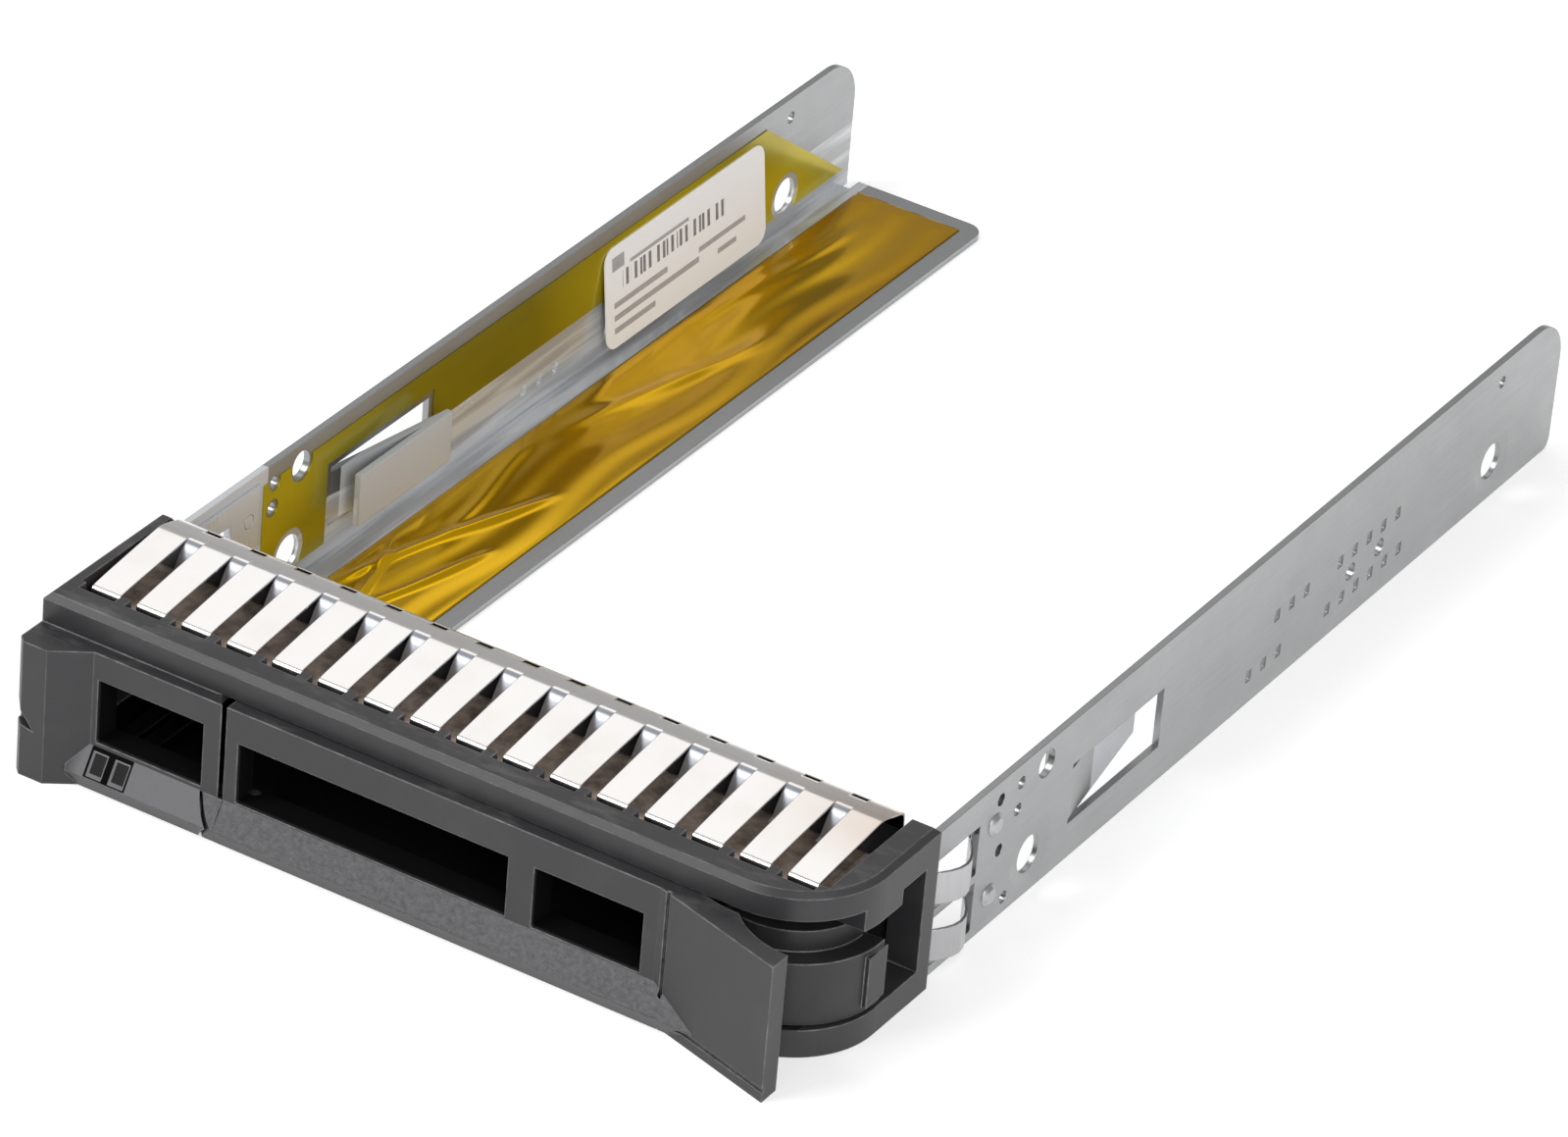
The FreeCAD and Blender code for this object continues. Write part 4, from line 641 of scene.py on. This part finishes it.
class CADDY_OT_shelf_film(bpy.types.Operator):
    """Make the creased amber film on the shelf and finish the film on the wall"""
    bl_idname = "caddy.shelf_film"
    bl_label = "Amber film"

    def execute(self, context):
        looks = context.scene.caddy_film
        low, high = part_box("shelf_film")
        across = np.linspace(low.x, high.x, 60)
        along = np.linspace(low.y, high.y, 460)
        y, x = np.meshgrid(along, across, indexing="ij")
        lift = 0.1 * MM
        points = np.stack([x, y, low.z + lift + self.relief(x, y, looks.crease_rise)], axis=-1)
        material = film_material("film_on_shelf", looks.film_colour, looks.deep_colour,
                                 lie=(0.6, 0.16, 1.0), shine=1.0)
        piece = mesh_piece("shelf_film_sheet", points.reshape(-1, 3),
                           grid_quads(len(along), len(across)), material, "carrier", "amber_film",
                           "shelf_film")
        add_thickness(piece, 0.07 * MM)
        shade = tuple(0.3 * c for c in looks.wall_colour)
        dress(film_material("film_on_wall", looks.wall_colour, shade, lie=(1.0, 0.3, 0.8),
                            shine=0.45), "wall_film")
        return {"FINISHED"}

    def relief(self, x, y, rise):
        """Height of the film, which is stuck down at its rim.

        Each crease is a ridge exp(-(distance / width) squared) along a line that waves a little,
        faded to its ends.  Long low ripples are added.
        """
        # Both ends in millimetres, share of the full rise, and width in millimetres.
        creases = ((-31.5, -37.0, -24.3, -9.0, 1.0, 0.42), (-26.0, -33.0, -32.4, -13.0, 0.8, 0.36),
                   (-32.6, -24.0, -25.2, 2.0, 0.9, 0.5), (-29.0, -12.0, -31.8, 8.0, 0.5, 0.6),
                   (-31.5, 6.0, -25.0, 36.0, 0.5, 0.8), (-31.8, 30.0, -29.5, 58.0, 0.4, 0.7))
        height = np.zeros_like(x)
        for x0, y0, x1, y1, share, wide in creases:
            run = np.array([(x1 - x0), (y1 - y0)]) * MM
            long = np.hypot(*run)
            dx, dy = x - x0 * MM, y - y0 * MM
            t = (dx * run[0] + dy * run[1]) / long ** 2
            off = (dx * run[1] - dy * run[0]) / long + 0.25 * MM * np.sin(7.0 * t + x0)
            fade = np.clip(np.minimum(t, 1.0 - t) * 5.0, 0.0, 1.0)
            height += share * fade * fade * (3 - 2 * fade) * np.exp(-(off / (wide * MM)) ** 2)
        height += 0.12 * (1 + np.sin(x / MM * 1.7 + 1.3 * np.sin(y / MM * 0.21)))
        edge_x = np.minimum(x - x.min(), x.max() - x) / (0.7 * MM)
        edge_y = np.minimum(y - y.min(), y.max() - y) / (1.2 * MM)
        return rise * height * np.clip(np.minimum(edge_x, edge_y), 0.0, 1.0)


class CADDY_OT_plastic(bpy.types.Operator):
    """Finish the bezel, the handle and the latch"""
    bl_idname = "caddy.plastic"
    bl_label = "Moulded plastic"

    def execute(self, context):
        looks = context.scene.caddy_plastic
        bezel = plastic_material("bezel_plastic_moulded", looks.body_colour, looks, coarse=0.15)
        dress(bezel, "bezel_frame")
        handle = plastic_material("handle_plastic_moulded", looks.body_colour, looks, coarse=1.0)
        dress(handle, "handle")
        self.heel(handle)
        latch = plastic_material("latch_plastic_moulded", looks.latch_colour, looks, painted_inside_shade=0.0)
        dress(latch, "latch")
        dress(clear_material(), "activity_light_pipe", "status_light_pipe")
        return {"FINISHED"}

    def heel(self, material):
        """Round end of the handle's sill.

        Along X its section is the sill's, cut off at the front by a circle about the hinge, where y
        is the hinge's less sqrt(reach squared - distance squared).  A plane that slopes forward cuts
        its rear.  It starts with a cap and ends where the two meet.
        """
        reach, start, end = 4.03 * MM, -17.9, -19.9
        back, slope_start, slope = -57.8 * MM, -18.0 * MM, 0.5
        x = np.linspace(start, end, 26)[:, None] * MM
        z = np.linspace(0.02, 3.78, 30)[None, :] * MM
        foot = FRONT_PLANE - FOOT_PROUD
        lip = FRONT_PLANE - LEDGE_SLOPE * (LEDGE_TOP - LIP_HEIGHT)
        front = np.where(z < LIP_HEIGHT, foot + (lip - foot) * z / LIP_HEIGHT,
                         FRONT_PLANE - LEDGE_SLOPE * (LEDGE_TOP - z))
        arc = HINGE[1] - np.sqrt(np.clip(reach ** 2 - (x - HINGE[0]) ** 2, 0.0, None))
        rear = back - slope * np.clip(slope_start - x, 0.0, None)
        front = np.minimum(np.maximum(front, arc), rear)
        y = np.hstack([front, np.broadcast_to(rear, front.shape), front[:, :1]])
        z = np.hstack([z, z[:, ::-1], z[:, :1]])
        points = np.stack(np.broadcast_arrays(x, y, z), axis=-1)
        cap = np.broadcast_to(points[:1].mean(axis=1, keepdims=True), points[:1].shape)
        points = np.concatenate([cap, points])
        mesh_piece("handle_heel", points.reshape(-1, 3), grid_quads(*points.shape[:2]), material,
                   "handle", "handle_plastic").data.shade_flat()


class CADDY_OT_metal(bpy.types.Operator):
    """Finish the rails, side contacts, rivets, pins and springs"""
    bl_idname = "caddy.metal"
    bl_label = "Sheet metal and pins"

    def execute(self, context):
        looks = context.scene.caddy_metal
        dress(sheet_material("rail_sheet", looks.sheet_colour, looks.sheet_roughness),
              "left_rail", "right_rail")
        dress(sheet_material("contact_strip", looks.wire_colour, 0.3, (1.0, 1.0, 0.06), 0.14),
              "left_side_contact", "right_side_contact")
        dress(sheet_material("rivet_metal", looks.wire_colour, 0.32, (1.0, 1.0, 1.0), 0.2),
              "left_contact_rivets", "right_contact_rivets")
        dress(sheet_material("pin_and_spring_steel", looks.wire_colour, 0.28, (1.0, 1.0, 0.08),
                             0.15),
              "handle_pin_upper", "handle_pin_lower", "latch_pin", "latch_spring", "handle_spring")
        return {"FINISHED"}


class CADDY_OT_label(bpy.types.Operator):
    """Finish the blank label with plain bars and lines"""
    bl_idname = "caddy.label"
    bl_label = "Blank label"

    def execute(self, context):
        dress(label_material(context.scene.caddy_label), "label")
        return {"FINISHED"}


class CADDY_OT_stage(bpy.types.Operator):
    """Make the floor, the soft lamps, the even sky and the camera"""
    bl_idname = "caddy.stage"
    bl_label = "Stage"

    def execute(self, context):
        looks = context.scene.caddy_stage
        scene = context.scene
        scene.view_settings.view_transform = "Standard"
        self.floor(scene)
        self.world(scene, looks.sky)
        self.lamp(scene, "key_lamp", looks.key_power, 0.5, (-0.45, -0.55, 0.75))
        self.lamp(scene, "fill_lamp", looks.fill_power, 0.5, (0.6, -0.5, 0.4))
        self.lamp(scene, "top_lamp", looks.top_power, 0.55, (-0.37, 0.42, 0.71))
        self.camera(scene, looks)
        return {"FINISHED"}

    def floor(self, scene):
        """Pale floor with the shadow, lifted to white for the camera, metal and clear pieces."""
        mesh = bpy.data.meshes.new("floor")
        reach = 3.0
        corners = [(-reach, -reach, 0), (reach, -reach, 0), (reach, reach, 0), (-reach, reach, 0)]
        mesh.from_pydata(corners, [], [(0, 1, 2, 3)])
        floor = bpy.data.objects.new("floor", mesh)
        scene.collection.objects.link(floor)
        shader = Shader("floor_pale")
        rays = shader.node("LightPath").outputs
        seen = (Signal(shader, rays["Is Camera Ray"]) + Signal(shader, rays["Is Glossy Ray"])
                + Signal(shader, rays["Is Transmission Ray"])).clamped()
        matt = shader.node("BsdfDiffuse", sockets={"Color": (0.8, 0.8, 0.8, 1.0)}).outputs[0]
        glow = shader.node("Emission", sockets={"Color": (1.0, 1.0, 1.0, 1.0),
                                                "Strength": seen * 0.45}).outputs[0]
        both = shader.node("AddShader", sockets={0: matt, 1: glow}).outputs[0]
        shader.node("OutputMaterial", sockets={"Surface": both})
        mesh.materials.append(shader.material)

    def world(self, scene, strength):
        """Even sky, which the camera alone sees as white."""
        world = bpy.data.worlds.new("sky")
        scene.world = world
        world.use_nodes = True
        nodes, links = world.node_tree.nodes, world.node_tree.links
        nodes.clear()
        path = nodes.new("ShaderNodeLightPath")
        level = nodes.new("ShaderNodeMix")
        level.inputs[2].default_value = strength
        level.inputs[3].default_value = 1.0
        links.new(path.outputs["Is Camera Ray"], level.inputs[0])
        sky = nodes.new("ShaderNodeBackground")
        sky.inputs["Color"].default_value = (1.0, 1.0, 1.0, 1.0)
        links.new(level.outputs[0], sky.inputs["Strength"])
        end = nodes.new("ShaderNodeOutputWorld")
        links.new(sky.outputs[0], end.inputs["Surface"])

    def lamp(self, scene, name, power, wide, place):
        """Square soft lamp that looks at the object."""
        data = bpy.data.lights.new(name, "AREA")
        data.energy, data.size = power, wide
        lamp = bpy.data.objects.new(name, data)
        lamp.location = place
        lamp.rotation_euler = (-Vector(place)).to_track_quat("-Z", "Y").to_euler()
        scene.collection.objects.link(lamp)

    def camera(self, scene, looks):
        """Camera from its turn, dip and roll: the line of sight, its right and up, then the roll."""
        turn, dip, roll = looks.turn, looks.dip, looks.roll
        sight = Vector((-math.sin(turn) * math.cos(dip), math.cos(turn) * math.cos(dip),
                        -math.sin(dip)))
        right = Vector((math.cos(turn), math.sin(turn), 0.0))
        up = right.cross(sight)
        right, up = (right * math.cos(roll) + up * math.sin(roll),
                     up * math.cos(roll) - right * math.sin(roll))
        data = bpy.data.cameras.new("camera")
        data.sensor_width, data.lens = 36.0, looks.lens
        data.clip_start, data.clip_end = 0.01, 20.0
        camera = bpy.data.objects.new("camera", data)
        axes = Matrix((right, up, -sight)).transposed().to_4x4()
        camera.matrix_world = Matrix.Translation(looks.place) @ axes
        scene.collection.objects.link(camera)
        scene.camera = camera


class CADDY_PT_looks(bpy.types.Panel):
    """Panel that lists the pieces"""
    bl_label = "Drive caddy"
    bl_idname = "CADDY_PT_looks"
    bl_space_type = "VIEW_3D"
    bl_region_type = "UI"
    bl_category = "Drive caddy"

    def draw(self, context):
        for operator in OPERATORS:
            self.layout.operator(operator.bl_idname)
        for name in SETTINGS:
            group = getattr(context.scene, name)
            box = self.layout.box()
            for key in group.__annotations__:
                box.prop(group, key)


SETTINGS = {"caddy_plastic": CaddyPlasticSettings, "caddy_metal": CaddyMetalSettings,
            "caddy_gasket": CaddyGasketSettings, "caddy_film": CaddyFilmSettings,
            "caddy_label": CaddyLabelSettings, "caddy_stage": CaddyStageSettings}
OPERATORS = (CADDY_OT_contact_gasket, CADDY_OT_shelf_film, CADDY_OT_plastic, CADDY_OT_metal,
             CADDY_OT_label, CADDY_OT_stage)


def register():
    for name, group in SETTINGS.items():
        bpy.utils.register_class(group)
        setattr(bpy.types.Scene, name, PointerProperty(type=group))
    for item in (*OPERATORS, CADDY_PT_looks):
        bpy.utils.register_class(item)


def unregister():
    for item in (CADDY_PT_looks, *reversed(OPERATORS)):
        bpy.utils.unregister_class(item)
    for name, group in SETTINGS.items():
        delattr(bpy.types.Scene, name)
        bpy.utils.unregister_class(group)


def main():
    """Register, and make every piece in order."""
    register()
    for make in (bpy.ops.caddy.contact_gasket, bpy.ops.caddy.shelf_film, bpy.ops.caddy.plastic,
                 bpy.ops.caddy.metal, bpy.ops.caddy.label, bpy.ops.caddy.stage):
        make()


if __name__ == "__main__":
    main()
